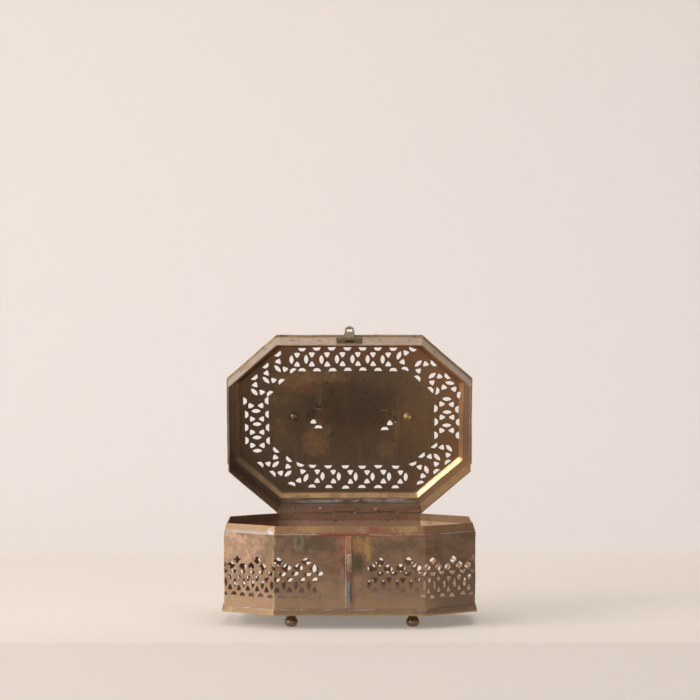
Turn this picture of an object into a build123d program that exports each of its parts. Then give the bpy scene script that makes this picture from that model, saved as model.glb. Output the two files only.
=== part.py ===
"""Pierced sheet-brass box on ball feet, with a hinged lid, a strap handle and a hasp.

The body is an octagon of bent sheet, long from side to side. The lid is shown as it stands
in the photograph: open, leaning forward, with the hasp's tongue turned back over its edge.

Millimetres. +Z is up, -Y is the front (the staple's side) and +X is the right-hand side.
The origin lies on the surface that the feet stand on, under the middle of the box.
"""

import os
from math import cos, degrees, atan2, floor, hypot, radians, sin, sqrt

from build123d import *

os.makedirs("parts", exist_ok=True)

# Body of the box
wall_width = 190.0
wall_depth = 140.0
corner_width = 38.5
corner_depth = 35.0
sheet = 0.8
foot_height = 10.0
shoulder_height = 70.1

# Collar: a strip soldered inside the wall's top edge, leaning in above it
collar_height = 6.7
collar_lean = 2.15
collar_lap = 4.5

# Skirting: a strip round the foot of the wall, flared at the bottom
skirting_height = 4.8
skirting_thickness = 0.8
skirting_flare = 0.9

# Turned feet
foot_ball_radius = 5.15
foot_ball_height = 7.2
foot_flat_radius = 1.6
foot_neck_radius = 3.75
foot_waist_radius = 3.2
foot_shoulder = 0.6
foot_from_corner = 10.8
foot_from_wall = 18.0
foot_shift = 1.8

# Seam strip and staple on the front wall
seam_offset = -0.75
seam_width = 5.2
seam_thickness = 0.6
staple_width = 3.6
staple_bar = 1.5
staple_reach = 7.0
staple_low = 42.4
staple_high = 56.7
staple_bend = 2.2

# Lid
skirt_gap = 0.3
skirt_depth = 20.0
seat_gap = 0.3
lid_lip = 1.4
riser_inset = 5.5
riser_width = 3.6
panel_rise = 3.6

# Lid angles: 0 is shut, the photograph shows it open this far
lid_open = 73.1

# Hinge between the back of the body and the back of the lid
knuckle_radius = 1.6
hinge_rise = 1.27
hinge_pin_radius = 0.95
pin_clearance = 0.05
leaf_thickness = 0.6
hinge_left = -29.0
hinge_corner_gap = 2.07
knuckle_count = 5
knuckle_gap = 0.2
body_leaf_drop = 16.0
lid_leaf_rise = 10.0
notch_clearance = 0.5
hinge_rivet_x = (-22.3, 20.8)
body_rivet_drop = 12.5
lid_rivet_rise = 6.0
small_rivet_radius = 1.0
small_rivet_head_radius = 1.9
small_rivet_head = 0.7
small_rivet_tail = 0.5
rivet_clearance = 0.1
pin_overhang = 0.6

# Strap handle across the outside of the lid, a little off its middle
handle_x = 1.0
handle_y = -2.6
handle_half_span = 44.6
handle_foot = 6.5
handle_width = 11.5
handle_thickness = 1.6
handle_rise = 22.0
handle_slope_run = 24.0
handle_bend = 8.0
handle_rivet_radius = 1.7
handle_rivet_dome = 3.5
handle_dome_height = 2.2
handle_tail_radius = 2.8
handle_tail_height = 0.9

# Hasp: a leaf riveted to the front of the lid, and a tongue that drops over the staple
hasp_axis_below_lid = 14.0
hasp_knuckle_radius = 1.7
hasp_pin_radius = 0.8
hasp_leaf_half_width = 10.0
hasp_leaf_thickness = 0.7
hasp_leaf_above = 9.5
hasp_rivet_above = 6.2
hasp_rivet_spacing = 13.0
tongue_thickness = 0.9
tongue_half_neck = 3.4
tongue_neck_length = 4.0
tongue_half_belly = 4.2
tongue_belly = 10.0
tongue_half_shoulder = 3.2
tongue_end_bar = 1.4
tongue_point = 7.6
slot_side_clearance = 0.35
slot_end_clearance = 1.7
tongue_knuckle_gap = 0.2
tongue_rest_gap = 0.2
slot_corner = 1.0

# The two piercing tools. Both lie along u, the way the pattern runs, and across it, v.
lens_length = 7.5
lens_width = 3.3
dart_u = 4.3
dart_v = 4.0
dart_length = 4.3
dart_width = 3.9
moon_u = 8.2
moon_v = 8.1
moon_length = 6.5
moon_width = 2.5
petal_spread = 1.55
petal_width = 7.3
petal_height = 6.2
petal_drop = 4.9
petal_side_step = 6.0

# Where the body is pierced, along the wall from the seam and up from the table
row_height = 32.7
trefoil_height = 50.4
right_start = 14.9
right_pitch = 10.35
left_start = 30.2
left_pitch = 9.55
trefoil_right_start = 23.1
trefoil_left_start = 32.2
trefoil_pitch = 20.9

# Heights and places that follow from the sizes above
collar_top = shoulder_height + collar_height
wall_front = -wall_depth / 2
wall_back = wall_depth / 2
seam_face = wall_front - seam_thickness
skirt_inner = skirt_gap + sheet
skirt_foot = shoulder_height + skirt_inner * collar_height / collar_lean + seat_gap
lid_underside = skirt_foot + skirt_depth
lid_top = lid_underside + sheet
panel_underside = lid_underside + panel_rise
panel_top = lid_top + panel_rise
sheet_turn = sheet * (sqrt(2) - 1)
hinge_y = wall_back + knuckle_radius
hinge_height = skirt_foot + hinge_rise
skirt_back = wall_back - skirt_gap
skirt_front = wall_front + skirt_gap
lid_leaf_y = skirt_back - sheet - leaf_thickness
lid_leaf_base = hinge_height + knuckle_radius - leaf_thickness
lid_leaf_top = hinge_height + lid_leaf_rise
lid_rivet_height = hinge_height + lid_rivet_rise
body_rivet_height = hinge_height - body_rivet_drop
tongue_face = seam_face - seat_gap
hasp_y = tongue_face - hasp_knuckle_radius
hasp_z = lid_underside - hasp_axis_below_lid
slot_top = hasp_z - staple_high - slot_end_clearance
slot_bottom = hasp_z - staple_low + slot_end_clearance
slot_half_width = staple_width / 2 + slot_side_clearance
tongue_shoulder = slot_bottom + tongue_end_bar
tongue_length = tongue_shoulder + tongue_point
lip_face = skirt_front - lid_lip - tongue_rest_gap
lip_room = lip_face - (hasp_y + tongue_thickness - hasp_knuckle_radius)
tongue_turned_back = 180 + degrees(atan2(lip_room, lid_top - hasp_z))


def octagon(inset=0.0):
    """Corners of the body's outline, drawn in by inset all round, from the front right."""
    half_x = wall_width / 2 - inset
    half_y = wall_depth / 2 - inset
    slant = hypot(corner_width, corner_depth)
    flat_x = wall_width / 2 - corner_width - inset * (slant - corner_width) / corner_depth
    flat_y = wall_depth / 2 - corner_depth - inset * (slant - corner_depth) / corner_width
    return [
        (flat_x, -half_y), (half_x, -flat_y), (half_x, flat_y), (flat_x, half_y),
        (-flat_x, half_y), (-half_x, flat_y), (-half_x, -flat_y), (-flat_x, -half_y),
    ]


# The hinge stops short of the lid's right back corner
hinge_right = octagon(skirt_inner)[3][0] - hinge_corner_gap


def turned(y, z, pivot_y, pivot_z, angle):
    """The point y, z after a turn by angle degrees about the X line through the pivot."""
    dy, dz = y - pivot_y, z - pivot_z
    c, s = cos(radians(angle)), sin(radians(angle))
    return pivot_y + dy * c - dz * s, pivot_z + dy * s + dz * c


def lid_plane(x, y, z, normal):
    """A plane on the open lid, named by its place and normal on the shut lid."""
    rest_y, rest_z = turned(y, z, hinge_y, hinge_height, -lid_open)
    normal_y, normal_z = turned(normal[1], normal[2], 0, 0, -lid_open)
    x_dir = (1, 0, 0) if normal[0] == 0 else (0, *turned(1, 0, 0, 0, -lid_open))
    return Plane(origin=(x, rest_y, rest_z), x_dir=x_dir, z_dir=(normal[0], normal_y, normal_z))


def lid_level(z):
    """The lid's own level at height z of the shut lid, looking down on its outside."""
    return lid_plane(0, 0, z, (0, 0, 1))


def tongue_plane(x, y, z, normal):
    """As lid_plane, for the tongue, drawn hanging over the staple and then turned back."""
    back_y, back_z = turned(y, z, hasp_y, hasp_z, -tongue_turned_back)
    normal_y, normal_z = turned(normal[1], normal[2], 0, 0, -tongue_turned_back)
    rest_y, rest_z = turned(back_y, back_z, hinge_y, hinge_height, -lid_open)
    normal_y, normal_z = turned(normal_y, normal_z, 0, 0, -lid_open)
    x_axis_y, x_axis_z = turned(1, 0, 0, 0, -tongue_turned_back - lid_open)
    x_dir = (1, 0, 0) if normal[0] == 0 else (0, x_axis_y, x_axis_z)
    return Plane(origin=(x, rest_y, rest_z), x_dir=x_dir, z_dir=(normal[0], normal_y, normal_z))


def facets():
    """Each flat of the wall as its plane, seen from outside, its length and its start.

    The start is measured along the wall from the seam, to the right and round the back.
    """
    corners = octagon()
    start = -corners[0][0]
    for first, second in zip(corners[-1:] + corners[:-1], corners):
        length = hypot(second[0] - first[0], second[1] - first[1])
        along = ((second[0] - first[0]) / length, (second[1] - first[1]) / length, 0)
        middle = ((first[0] + second[0]) / 2, (first[1] + second[1]) / 2, 0)
        outward = (along[1], -along[0], 0)
        yield Plane(origin=middle, x_dir=along, z_dir=outward), length, start
        start += length


def facet_row(height, places, length, start):
    """Locations on one flat for the places along the wall that fall on or near it."""
    margin = moon_u + moon_length
    near = [s - start - length / 2 for s in places if -margin < s - start < length + margin]
    return [Location((s, height)) for s in near]


def seam_rows(right_first, pitch_right, left_first, pitch_left):
    """Places along the wall, right from the seam and left from it, up to the back's middle."""
    around = sum(length for plane, length, start in facets())
    right_count = floor((around / 2 - right_first) / pitch_right)
    left_count = floor((around / 2 - left_first) / pitch_left)
    to_right = [right_first + i * pitch_right for i in range(right_count)]
    to_left = [around - left_first - i * pitch_left for i in range(left_count)]
    return to_right + to_left + [place - around for place in to_left]


def rivet(shank_radius, grip, head_radius, head_height, tail_radius, tail_height):
    """A rivet along Z: domed head above Z = 0, shank below it, hammered tail under the grip."""
    with BuildPart() as made:
        with BuildSketch(Plane.XZ):
            with BuildLine():
                ThreePointArc(
                    (0, head_height),
                    (head_radius * sin(radians(45)), head_height * cos(radians(45))),
                    (head_radius, 0),
                )
                Polyline(
                    (head_radius, 0),
                    (shank_radius, 0),
                    (shank_radius, -grip),
                    (tail_radius, -grip),
                    (shank_radius, -grip - tail_height),
                    (0, -grip - tail_height),
                    (0, head_height),
                )
            make_face()
        revolve(axis=Axis.Z)
    return made.part


# The five-hole tool: a lens, two darts behind it and two half moons outside them
with BuildSketch() as crescent_tool:
    with BuildLine():
        ThreePointArc((0, -lens_length / 2), (lens_width / 2, 0), (0, lens_length / 2))
        ThreePointArc((0, lens_length / 2), (-lens_width / 2, 0), (0, -lens_length / 2))
    make_face()
    with BuildLine():
        ThreePointArc(
            (moon_u - moon_length / 2, moon_v + moon_width / 2),
            (moon_u, moon_v - moon_width / 2),
            (moon_u + moon_length / 2, moon_v + moon_width / 2),
        )
        Line(
            (moon_u + moon_length / 2, moon_v + moon_width / 2),
            (moon_u - moon_length / 2, moon_v + moon_width / 2),
        )
    make_face()
    Polygon(
        (dart_u - dart_length / 2, dart_v + dart_width / 2),
        (dart_u, dart_v - dart_width / 2),
        (dart_u + dart_length / 2, dart_v + dart_width / 2),
        align=None,
    )
    mirror(about=Plane.XZ)

# The trefoil tool: three four-lobed holes, one above two
with BuildSketch() as trefoil_tool:
    with Locations((0, 0), (-petal_side_step, -petal_drop), (petal_side_step, -petal_drop)):
        with GridLocations(petal_width - 2 * petal_spread, 0, 2, 1):
            Circle(petal_spread)
        with GridLocations(0, petal_height - 2 * petal_spread, 1, 2):
            Circle(petal_spread)
        Rectangle(petal_width - 2 * petal_spread, petal_height - 2 * petal_spread)

crescent_places = seam_rows(right_start, right_pitch, left_start, left_pitch)
trefoil_places = seam_rows(trefoil_right_start, trefoil_pitch, trefoil_left_start, trefoil_pitch)

# Body wall: one pierced sheet bent into an octagon
with BuildPart() as body_wall:
    with BuildSketch(Plane.XY.offset(foot_height)):
        Polygon(*octagon(), align=None)
        Polygon(*octagon(sheet), align=None, mode=Mode.SUBTRACT)
    extrude(amount=shoulder_height - foot_height)
    for plane, length, start in facets():
        crescents = facet_row(row_height, crescent_places, length, start)
        trefoils = facet_row(trefoil_height, trefoil_places, length, start)
        with BuildSketch(plane):
            with Locations(*crescents):
                add(crescent_tool.sketch)
            with Locations(*trefoils):
                add(trefoil_tool.sketch)
            with Locations((0, shoulder_height / 2)):
                Rectangle(length, shoulder_height, mode=Mode.INTERSECT)
        extrude(amount=-sheet - seat_gap, mode=Mode.SUBTRACT)
    with BuildSketch(Plane.XZ.offset(-wall_back)):
        with Locations(*[(x, body_rivet_height) for x in hinge_rivet_x]):
            Circle(small_rivet_radius + rivet_clearance)
    extrude(amount=2 * sheet, both=True, mode=Mode.SUBTRACT)
body_wall.part.label = "body_wall"
export_step(body_wall.part, "parts/body_wall.step")

# Floor, inside the foot of the wall
with BuildPart() as floor_plate:
    with BuildSketch(Plane.XY.offset(foot_height)):
        Polygon(*octagon(sheet), align=None)
    extrude(amount=sheet)
floor_plate.part.label = "floor_plate"
export_step(floor_plate.part, "parts/floor_plate.step")

# Skirting round the foot of the wall
with BuildPart() as skirting:
    with BuildSketch(Plane.XY.offset(foot_height)):
        Polygon(*octagon(-skirting_thickness - skirting_flare), align=None)
    with BuildSketch(Plane.XY.offset(foot_height + skirting_height)):
        Polygon(*octagon(-skirting_thickness), align=None)
    loft(ruled=True)
    with BuildSketch(Plane.XY.offset(foot_height)):
        Polygon(*octagon(), align=None)
    extrude(amount=skirting_height, mode=Mode.SUBTRACT)
skirting.part.label = "skirting"
export_step(skirting.part, "parts/skirting.step")

# Collar above the wall, leaning in, with its lap inside the wall
with BuildPart() as rim_collar:
    with BuildSketch(Plane.XY.offset(shoulder_height)):
        Polygon(*octagon(), align=None)
    with BuildSketch(Plane.XY.offset(collar_top)):
        Polygon(*octagon(collar_lean), align=None)
    loft(ruled=True)
    with BuildSketch(Plane.XY.offset(shoulder_height - collar_lap)):
        Polygon(*octagon(sheet), align=None)
    extrude(amount=collar_lap)
    with BuildSketch(Plane.XY.offset(shoulder_height - collar_lap)):
        Polygon(*octagon(2 * sheet), align=None)
    extrude(amount=collar_lap, mode=Mode.SUBTRACT)
    with BuildSketch(Plane.XY.offset(shoulder_height)):
        Polygon(*octagon(2 * sheet), align=None)
    with BuildSketch(Plane.XY.offset(collar_top)):
        Polygon(*octagon(collar_lean + sheet), align=None)
    loft(ruled=True, mode=Mode.SUBTRACT)
rim_collar.part.label = "rim_collar"
export_step(rim_collar.part, "parts/rim_collar.step")

# Four turned feet, soldered under the floor a little to the right of its middle
foot_x = wall_width / 2 - corner_width - foot_from_corner
foot_y = wall_depth / 2 - foot_from_wall
with BuildPart() as foot:
    with BuildSketch(Plane.XZ):
        with BuildLine():
            Polyline(
                (foot_waist_radius, foot_ball_height),
                (foot_neck_radius, foot_ball_height + foot_shoulder),
                (foot_neck_radius, foot_height),
                (0, foot_height),
                (0, 0),
                (foot_flat_radius, 0),
            )
            ThreePointArc(
                (foot_flat_radius, 0),
                (foot_ball_radius, foot_ball_height / 2),
                (foot_waist_radius, foot_ball_height),
            )
        make_face()
    revolve(axis=Axis.Z)
for row, y in (("front", -foot_y), ("back", foot_y)):
    for side, x in (("left", foot_shift - foot_x), ("right", foot_shift + foot_x)):
        name = f"foot_{row}_{side}"
        placed = Pos(x, y, 0) * foot.part
        placed.label = name
        export_step(placed, f"parts/{name}.step")

# Strip that covers the seam in the middle of the front
with BuildPart() as front_seam_strip:
    with BuildSketch(Plane.XZ.offset(-wall_front)):
        with Locations((seam_offset, (foot_height + skirting_height + shoulder_height) / 2)):
            Rectangle(seam_width, shoulder_height - foot_height - skirting_height)
    extrude(amount=seam_thickness)
front_seam_strip.part.label = "front_seam_strip"
export_step(front_seam_strip.part, "parts/front_seam_strip.step")

# Staple: a strap bent to a loop that stands out from the front
with BuildPart() as hasp_staple:
    with BuildSketch(Plane.YZ.offset(-staple_width / 2)):
        with Locations((seam_face - staple_reach / 2, (staple_low + staple_high) / 2)):
            Rectangle(staple_reach, staple_high - staple_low)
            Rectangle(
                staple_reach, staple_high - staple_low - 2 * staple_bar, mode=Mode.SUBTRACT
            )
        with Locations((seam_face - staple_reach + staple_bar / 2, (staple_low + staple_high) / 2)):
            Rectangle(staple_bar, staple_high - staple_low)
    extrude(amount=staple_width)
    outer_bends = hasp_staple.edges().filter_by(Axis.X).group_by(Axis.Y)[0]
    fillet(outer_bends, radius=staple_bend)
    inner_bends = hasp_staple.edges().filter_by(Axis.X).sort_by(Axis.Y)
    inner_bends = [
        e for e in inner_bends
        if abs(e.center().Y - (seam_face - staple_reach + staple_bar)) < staple_bar / 4
        and staple_low + staple_bar / 2 < e.center().Z < staple_high - staple_bar / 2
    ]
    fillet(inner_bends, radius=staple_bend - staple_bar)
hasp_staple.part.label = "hasp_staple"
export_step(hasp_staple.part, "parts/hasp_staple.step")

# Where the lid is pierced, lid shut. Each run has its first and last lens, measured from the
# walls, the pitch it was struck at, and the way its tool faces, turned from +X towards +Y.
left, right, front, back = -wall_width / 2, wall_width / 2, wall_front, wall_back
lid_runs = (
    ((left + 49.6, front + 20.1), (right - 69.1, front + 20.1), 11.9, 0),
    ((right - 56.4, front + 17.2), (right - 56.4, front + 17.2), 11.9, 20),
    ((right - 41.1, front + 23.5), (right - 30.4, front + 33.5), 14.6, 46),
    ((right - 16.5, front + 39.8), (right - 16.5, front + 39.8), 11.0, 100),
    ((right - 18.6, front + 53.1), (right - 18.6, back - 64.9), 11.0, 90),
    ((right - 16.6, back - 46.1), (right - 26.2, back - 38.4), 12.3, 141),
    ((right - 34.4, back - 27.9), (right - 34.4, back - 27.9), 13.2, 160),
    ((right - 50.5, back - 22.0), (left + 73.5, back - 22.4), 13.2, 180),
    ((left + 60.5, back - 21.2), (left + 60.5, back - 21.2), 13.2, 200),
    ((left + 46.5, back - 24.9), (left + 36.8, back - 32.5), 12.3, 225),
    ((left + 22.6, back - 44.2), (left + 22.0, front + 62.8), 11.0, 270),
    ((left + 20.4, front + 47.2), (left + 38.8, front + 27.7), 13.4, 317),
    ((36.0, -1.0), (36.0, -1.0), 11.0, 180),
    ((-32.8, -2.2), (-32.8, -2.2), 11.0, 0),
)


def run_of_strikes(first, last, pitch, facing):
    """Locations of the tool along a run, evenly spaced at about the run's pitch."""
    span = (last[0] - first[0], last[1] - first[1])
    steps = round(hypot(*span) / pitch)
    shares = [i / steps for i in range(steps + 1)] if steps else [0]
    return [
        Location((first[0] + span[0] * t, first[1] + span[1] * t, 0), (0, 0, facing))
        for t in shares
    ]


# Lid plate: flat border, sloping riser and raised, pierced panel
with BuildPart() as lid_plate:
    with BuildSketch(lid_level(lid_underside)):
        Polygon(*octagon(skirt_gap - lid_lip), align=None)
    extrude(amount=sheet)
    with BuildSketch(lid_level(lid_top)):
        Polygon(*octagon(riser_inset), align=None)
    with BuildSketch(lid_level(panel_top)):
        Polygon(*octagon(riser_inset + riser_width), align=None)
    loft(ruled=True)
    with BuildSketch(lid_level(lid_underside)):
        Polygon(*octagon(riser_inset + sheet_turn), align=None)
    with BuildSketch(lid_level(panel_underside)):
        Polygon(*octagon(riser_inset + riser_width + sheet_turn), align=None)
    loft(ruled=True, mode=Mode.SUBTRACT)
    strikes = [place for run in lid_runs for place in run_of_strikes(*run)]
    with BuildSketch(lid_level(panel_underside - seat_gap)):
        with Locations(*strikes):
            add(crescent_tool.sketch)
        with Locations((handle_x, handle_y)):
            with GridLocations(2 * handle_half_span, 0, 2, 1):
                Circle(handle_rivet_radius + rivet_clearance)
    extrude(amount=sheet + 2 * seat_gap, mode=Mode.SUBTRACT)
lid_plate.part.label = "lid_plate"
export_step(lid_plate.part, "parts/lid_plate.step")

# The hinge's knuckles share its length; the body has the odd ones and the lid the even ones
knuckle_pitch = (hinge_right - hinge_left) / knuckle_count
knuckle_middles = [hinge_left + (i + 0.5) * knuckle_pitch for i in range(knuckle_count)]
body_knuckles = knuckle_middles[0::2]
lid_knuckles = knuckle_middles[1::2]

# Lid skirt, notched at the back for the lid's knuckles
with BuildPart() as lid_skirt:
    with BuildSketch(lid_level(skirt_foot)):
        Polygon(*octagon(skirt_gap), align=None)
        Polygon(*octagon(skirt_inner), align=None, mode=Mode.SUBTRACT)
    extrude(amount=skirt_depth)
    with BuildSketch(lid_plane(0, skirt_back, 0, (0, -1, 0))):
        with Locations(*[(x, skirt_foot) for x in lid_knuckles]):
            Rectangle(
                knuckle_pitch, 2 * (hinge_height + knuckle_radius + notch_clearance - skirt_foot)
            )
        with Locations(*[(x, lid_rivet_height) for x in hinge_rivet_x]):
            Circle(small_rivet_radius + rivet_clearance)
    extrude(amount=2 * sheet, mode=Mode.SUBTRACT)
    with BuildSketch(lid_plane(0, skirt_front, 0, (0, -1, 0))):
        with Locations((0, hasp_z + hasp_rivet_above)):
            with GridLocations(hasp_rivet_spacing, 0, 2, 1):
                Circle(small_rivet_radius + rivet_clearance)
    extrude(amount=-2 * sheet, mode=Mode.SUBTRACT)
lid_skirt.part.label = "lid_skirt"
export_step(lid_skirt.part, "parts/lid_skirt.step")

# Leaf on the body's back wall
with BuildPart() as hinge_body_leaf:
    with BuildSketch(Plane.YZ.offset(hinge_left)):
        with Locations((wall_back + leaf_thickness / 2, hinge_height - body_leaf_drop / 2)):
            Rectangle(leaf_thickness, body_leaf_drop)
        with Locations((hinge_y, hinge_height)):
            Circle(knuckle_radius)
            Circle(hinge_pin_radius + pin_clearance, mode=Mode.SUBTRACT)
    extrude(amount=hinge_right - hinge_left)
    with BuildSketch(Plane.XZ.offset(-wall_back)):
        with Locations(*[(x, hinge_height) for x in lid_knuckles]):
            Rectangle(
                knuckle_pitch + 2 * knuckle_gap, 2 * (knuckle_radius + notch_clearance)
            )
        with Locations(*[(x, body_rivet_height) for x in hinge_rivet_x]):
            Circle(small_rivet_radius + rivet_clearance)
    extrude(amount=-4 * knuckle_radius, mode=Mode.SUBTRACT)
hinge_body_leaf.part.label = "hinge_body_leaf"
export_step(hinge_body_leaf.part, "parts/hinge_body_leaf.step")

# Leaf inside the lid's back skirt, reaching out through the notches to its knuckles
with BuildPart() as hinge_lid_leaf:
    with BuildSketch(lid_plane(hinge_left, 0, 0, (1, 0, 0))):
        with Locations((lid_leaf_y + leaf_thickness / 2, (lid_leaf_base + lid_leaf_top) / 2)):
            Rectangle(leaf_thickness, lid_leaf_top - lid_leaf_base)
        with Locations(((lid_leaf_y + hinge_y) / 2, lid_leaf_base + leaf_thickness / 2)):
            Rectangle(hinge_y - lid_leaf_y, leaf_thickness)
        with Locations((hinge_y, hinge_height)):
            Circle(knuckle_radius)
            Circle(hinge_pin_radius + pin_clearance, mode=Mode.SUBTRACT)
    extrude(amount=hinge_right - hinge_left)
    with BuildSketch(lid_plane(0, lid_leaf_y + leaf_thickness, 0, (0, -1, 0))):
        with Locations(*[(x, hinge_height) for x in body_knuckles]):
            Rectangle(
                knuckle_pitch + 2 * knuckle_gap, 2 * (knuckle_radius + notch_clearance)
            )
    extrude(amount=-sheet - 4 * knuckle_radius, mode=Mode.SUBTRACT)
    with BuildSketch(lid_plane(0, lid_leaf_y + leaf_thickness, 0, (0, -1, 0))):
        with Locations(*[(x, lid_rivet_height) for x in hinge_rivet_x]):
            Circle(small_rivet_radius + rivet_clearance)
    extrude(amount=leaf_thickness, mode=Mode.SUBTRACT)
hinge_lid_leaf.part.label = "hinge_lid_leaf"
export_step(hinge_lid_leaf.part, "parts/hinge_lid_leaf.step")

# Hinge pin
with BuildPart() as hinge_pin:
    with BuildSketch(Plane.YZ.offset(hinge_left - pin_overhang)):
        with Locations((hinge_y, hinge_height)):
            Circle(hinge_pin_radius)
    extrude(amount=hinge_right - hinge_left + 2 * pin_overhang)
hinge_pin.part.label = "hinge_pin"
export_step(hinge_pin.part, "parts/hinge_pin.step")

# Rivets that hold the hinge's leaves, heads inside the box
leaf_rivet = rivet(
    small_rivet_radius,
    sheet + leaf_thickness,
    small_rivet_head_radius,
    small_rivet_head,
    small_rivet_head_radius,
    small_rivet_tail,
)
with BuildPart() as hinge_body_rivets:
    with Locations(*[
        Plane(origin=(x, wall_back - sheet, body_rivet_height), x_dir=(1, 0, 0), z_dir=(0, -1, 0))
        for x in hinge_rivet_x
    ]):
        add(leaf_rivet)
hinge_body_rivets.part.label = "hinge_body_rivets"
export_step(hinge_body_rivets.part, "parts/hinge_body_rivets.step")

with BuildPart() as hinge_lid_rivets:
    with Locations(*[
        lid_plane(x, lid_leaf_y, lid_rivet_height, (0, -1, 0)) for x in hinge_rivet_x
    ]):
        add(leaf_rivet)
hinge_lid_rivets.part.label = "hinge_lid_rivets"
export_step(hinge_lid_rivets.part, "parts/hinge_lid_rivets.step")

# Strap handle, bent up from its two riveted feet
with BuildPart() as handle_strap:
    end_x = handle_half_span + handle_foot
    bend_x = handle_half_span - handle_foot
    grip_x = bend_x - handle_slope_run
    grip_z = panel_top + handle_rise
    with BuildSketch(lid_plane(handle_x, handle_y + handle_width / 2, 0, (0, -1, 0))):
        with BuildLine():
            FilletPolyline(
                (-end_x, panel_top), (-bend_x, panel_top), (-grip_x, grip_z),
                (grip_x, grip_z), (bend_x, panel_top), (end_x, panel_top),
                radius=handle_bend,
            )
            offset(amount=handle_thickness, side=Side.LEFT)
        make_face()
    extrude(amount=handle_width)
    with BuildSketch(lid_level(panel_top)):
        with Locations((handle_x, handle_y)):
            with GridLocations(2 * handle_half_span, 0, 2, 1):
                Circle(handle_rivet_radius + rivet_clearance)
    extrude(amount=handle_thickness, mode=Mode.SUBTRACT)
handle_strap.part.label = "handle_strap"
export_step(handle_strap.part, "parts/handle_strap.step")

# The handle's two rivets, their domes inside the lid
handle_rivet = rivet(
    handle_rivet_radius,
    sheet + handle_thickness,
    handle_rivet_dome,
    handle_dome_height,
    handle_tail_radius,
    handle_tail_height,
)
for side, x in (("left", handle_x - handle_half_span), ("right", handle_x + handle_half_span)):
    name = f"handle_rivet_{side}"
    placed = lid_plane(x, handle_y, panel_underside, (0, 0, -1)).location * handle_rivet
    placed.label = name
    export_step(placed, f"parts/{name}.step")

# Hasp leaf on the front of the lid's skirt, with a knuckle at each end
with BuildPart() as hasp_leaf:
    leaf_foot = hasp_z - hasp_knuckle_radius
    with BuildSketch(lid_plane(-hasp_leaf_half_width, 0, 0, (1, 0, 0))):
        leaf_middle = (leaf_foot + hasp_z + hasp_leaf_above) / 2
        with Locations((skirt_front - hasp_leaf_thickness / 2, leaf_middle)):
            Rectangle(hasp_leaf_thickness, hasp_leaf_above + hasp_knuckle_radius)
        with Locations(((skirt_front + hasp_y) / 2, leaf_foot + hasp_leaf_thickness / 2)):
            Rectangle(skirt_front - hasp_y, hasp_leaf_thickness)
        with Locations((hasp_y, hasp_z)):
            Circle(hasp_knuckle_radius)
            Circle(hasp_pin_radius + pin_clearance, mode=Mode.SUBTRACT)
    extrude(amount=2 * hasp_leaf_half_width)
    with BuildSketch(lid_plane(0, skirt_front - hasp_leaf_thickness, 0, (0, -1, 0))):
        with Locations((0, hasp_z)):
            Rectangle(2 * (tongue_half_neck + tongue_knuckle_gap), 3 * hasp_knuckle_radius)
    extrude(amount=4 * hasp_knuckle_radius, mode=Mode.SUBTRACT)
    with BuildSketch(lid_plane(0, skirt_front, 0, (0, -1, 0))):
        with Locations((0, hasp_z + hasp_rivet_above)):
            with GridLocations(hasp_rivet_spacing, 0, 2, 1):
                Circle(small_rivet_radius + rivet_clearance)
    extrude(amount=hasp_leaf_thickness, mode=Mode.SUBTRACT)
hasp_leaf.part.label = "hasp_leaf"
export_step(hasp_leaf.part, "parts/hasp_leaf.step")

# Two rivets through the hasp's leaf and the skirt, tails inside
hasp_rivet = rivet(
    small_rivet_radius,
    hasp_leaf_thickness + sheet,
    small_rivet_head_radius,
    small_rivet_head,
    small_rivet_head_radius,
    small_rivet_tail,
)
with BuildPart() as hasp_rivets:
    with Locations(*[
        lid_plane(x, skirt_front - hasp_leaf_thickness, hasp_z + hasp_rivet_above, (0, -1, 0))
        for x in (-hasp_rivet_spacing / 2, hasp_rivet_spacing / 2)
    ]):
        add(hasp_rivet)
hasp_rivets.part.label = "hasp_rivets"
export_step(hasp_rivets.part, "parts/hasp_rivets.step")

# Hasp pin
with BuildPart() as hasp_pin:
    with BuildSketch(lid_plane(-hasp_leaf_half_width - pin_overhang, 0, 0, (1, 0, 0))):
        with Locations((hasp_y, hasp_z)):
            Circle(hasp_pin_radius)
    extrude(amount=2 * (hasp_leaf_half_width + pin_overhang))
hasp_pin.part.label = "hasp_pin"
export_step(hasp_pin.part, "parts/hasp_pin.step")

# Hasp tongue: a pointed leaf with a slot for the staple, drawn hanging, then turned back
with BuildPart() as hasp_tongue:
    with BuildSketch(tongue_plane(0, tongue_face, 0, (0, -1, 0))):
        with BuildLine():
            Polyline(
                (0, hasp_z),
                (tongue_half_neck, hasp_z),
                (tongue_half_neck, hasp_z - tongue_neck_length),
                (tongue_half_belly, hasp_z - tongue_belly),
                (tongue_half_shoulder, hasp_z - tongue_shoulder),
                (0, hasp_z - tongue_length),
            )
            mirror(about=Plane.YZ)
        make_face()
        with Locations((0, hasp_z - (slot_top + slot_bottom) / 2)):
            RectangleRounded(
                2 * slot_half_width, slot_bottom - slot_top, slot_corner, mode=Mode.SUBTRACT
            )
    extrude(amount=tongue_thickness)
    with BuildSketch(tongue_plane(-tongue_half_neck, 0, 0, (1, 0, 0))):
        with Locations((hasp_y, hasp_z)):
            Circle(hasp_knuckle_radius)
    extrude(amount=2 * tongue_half_neck)
    with BuildSketch(tongue_plane(-tongue_half_neck, 0, 0, (1, 0, 0))):
        with Locations((hasp_y, hasp_z)):
            Circle(hasp_pin_radius + pin_clearance)
    extrude(amount=2 * tongue_half_neck, mode=Mode.SUBTRACT)
hasp_tongue.part.label = "hasp_tongue"
export_step(hasp_tongue.part, "parts/hasp_tongue.step")
print("tongue turned back by", round(tongue_turned_back, 2), "degrees")
print("hinge axis", hinge_y, hinge_height)
print("hasp axis", turned(hasp_y, hasp_z, hinge_y, hinge_height, -lid_open))
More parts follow.
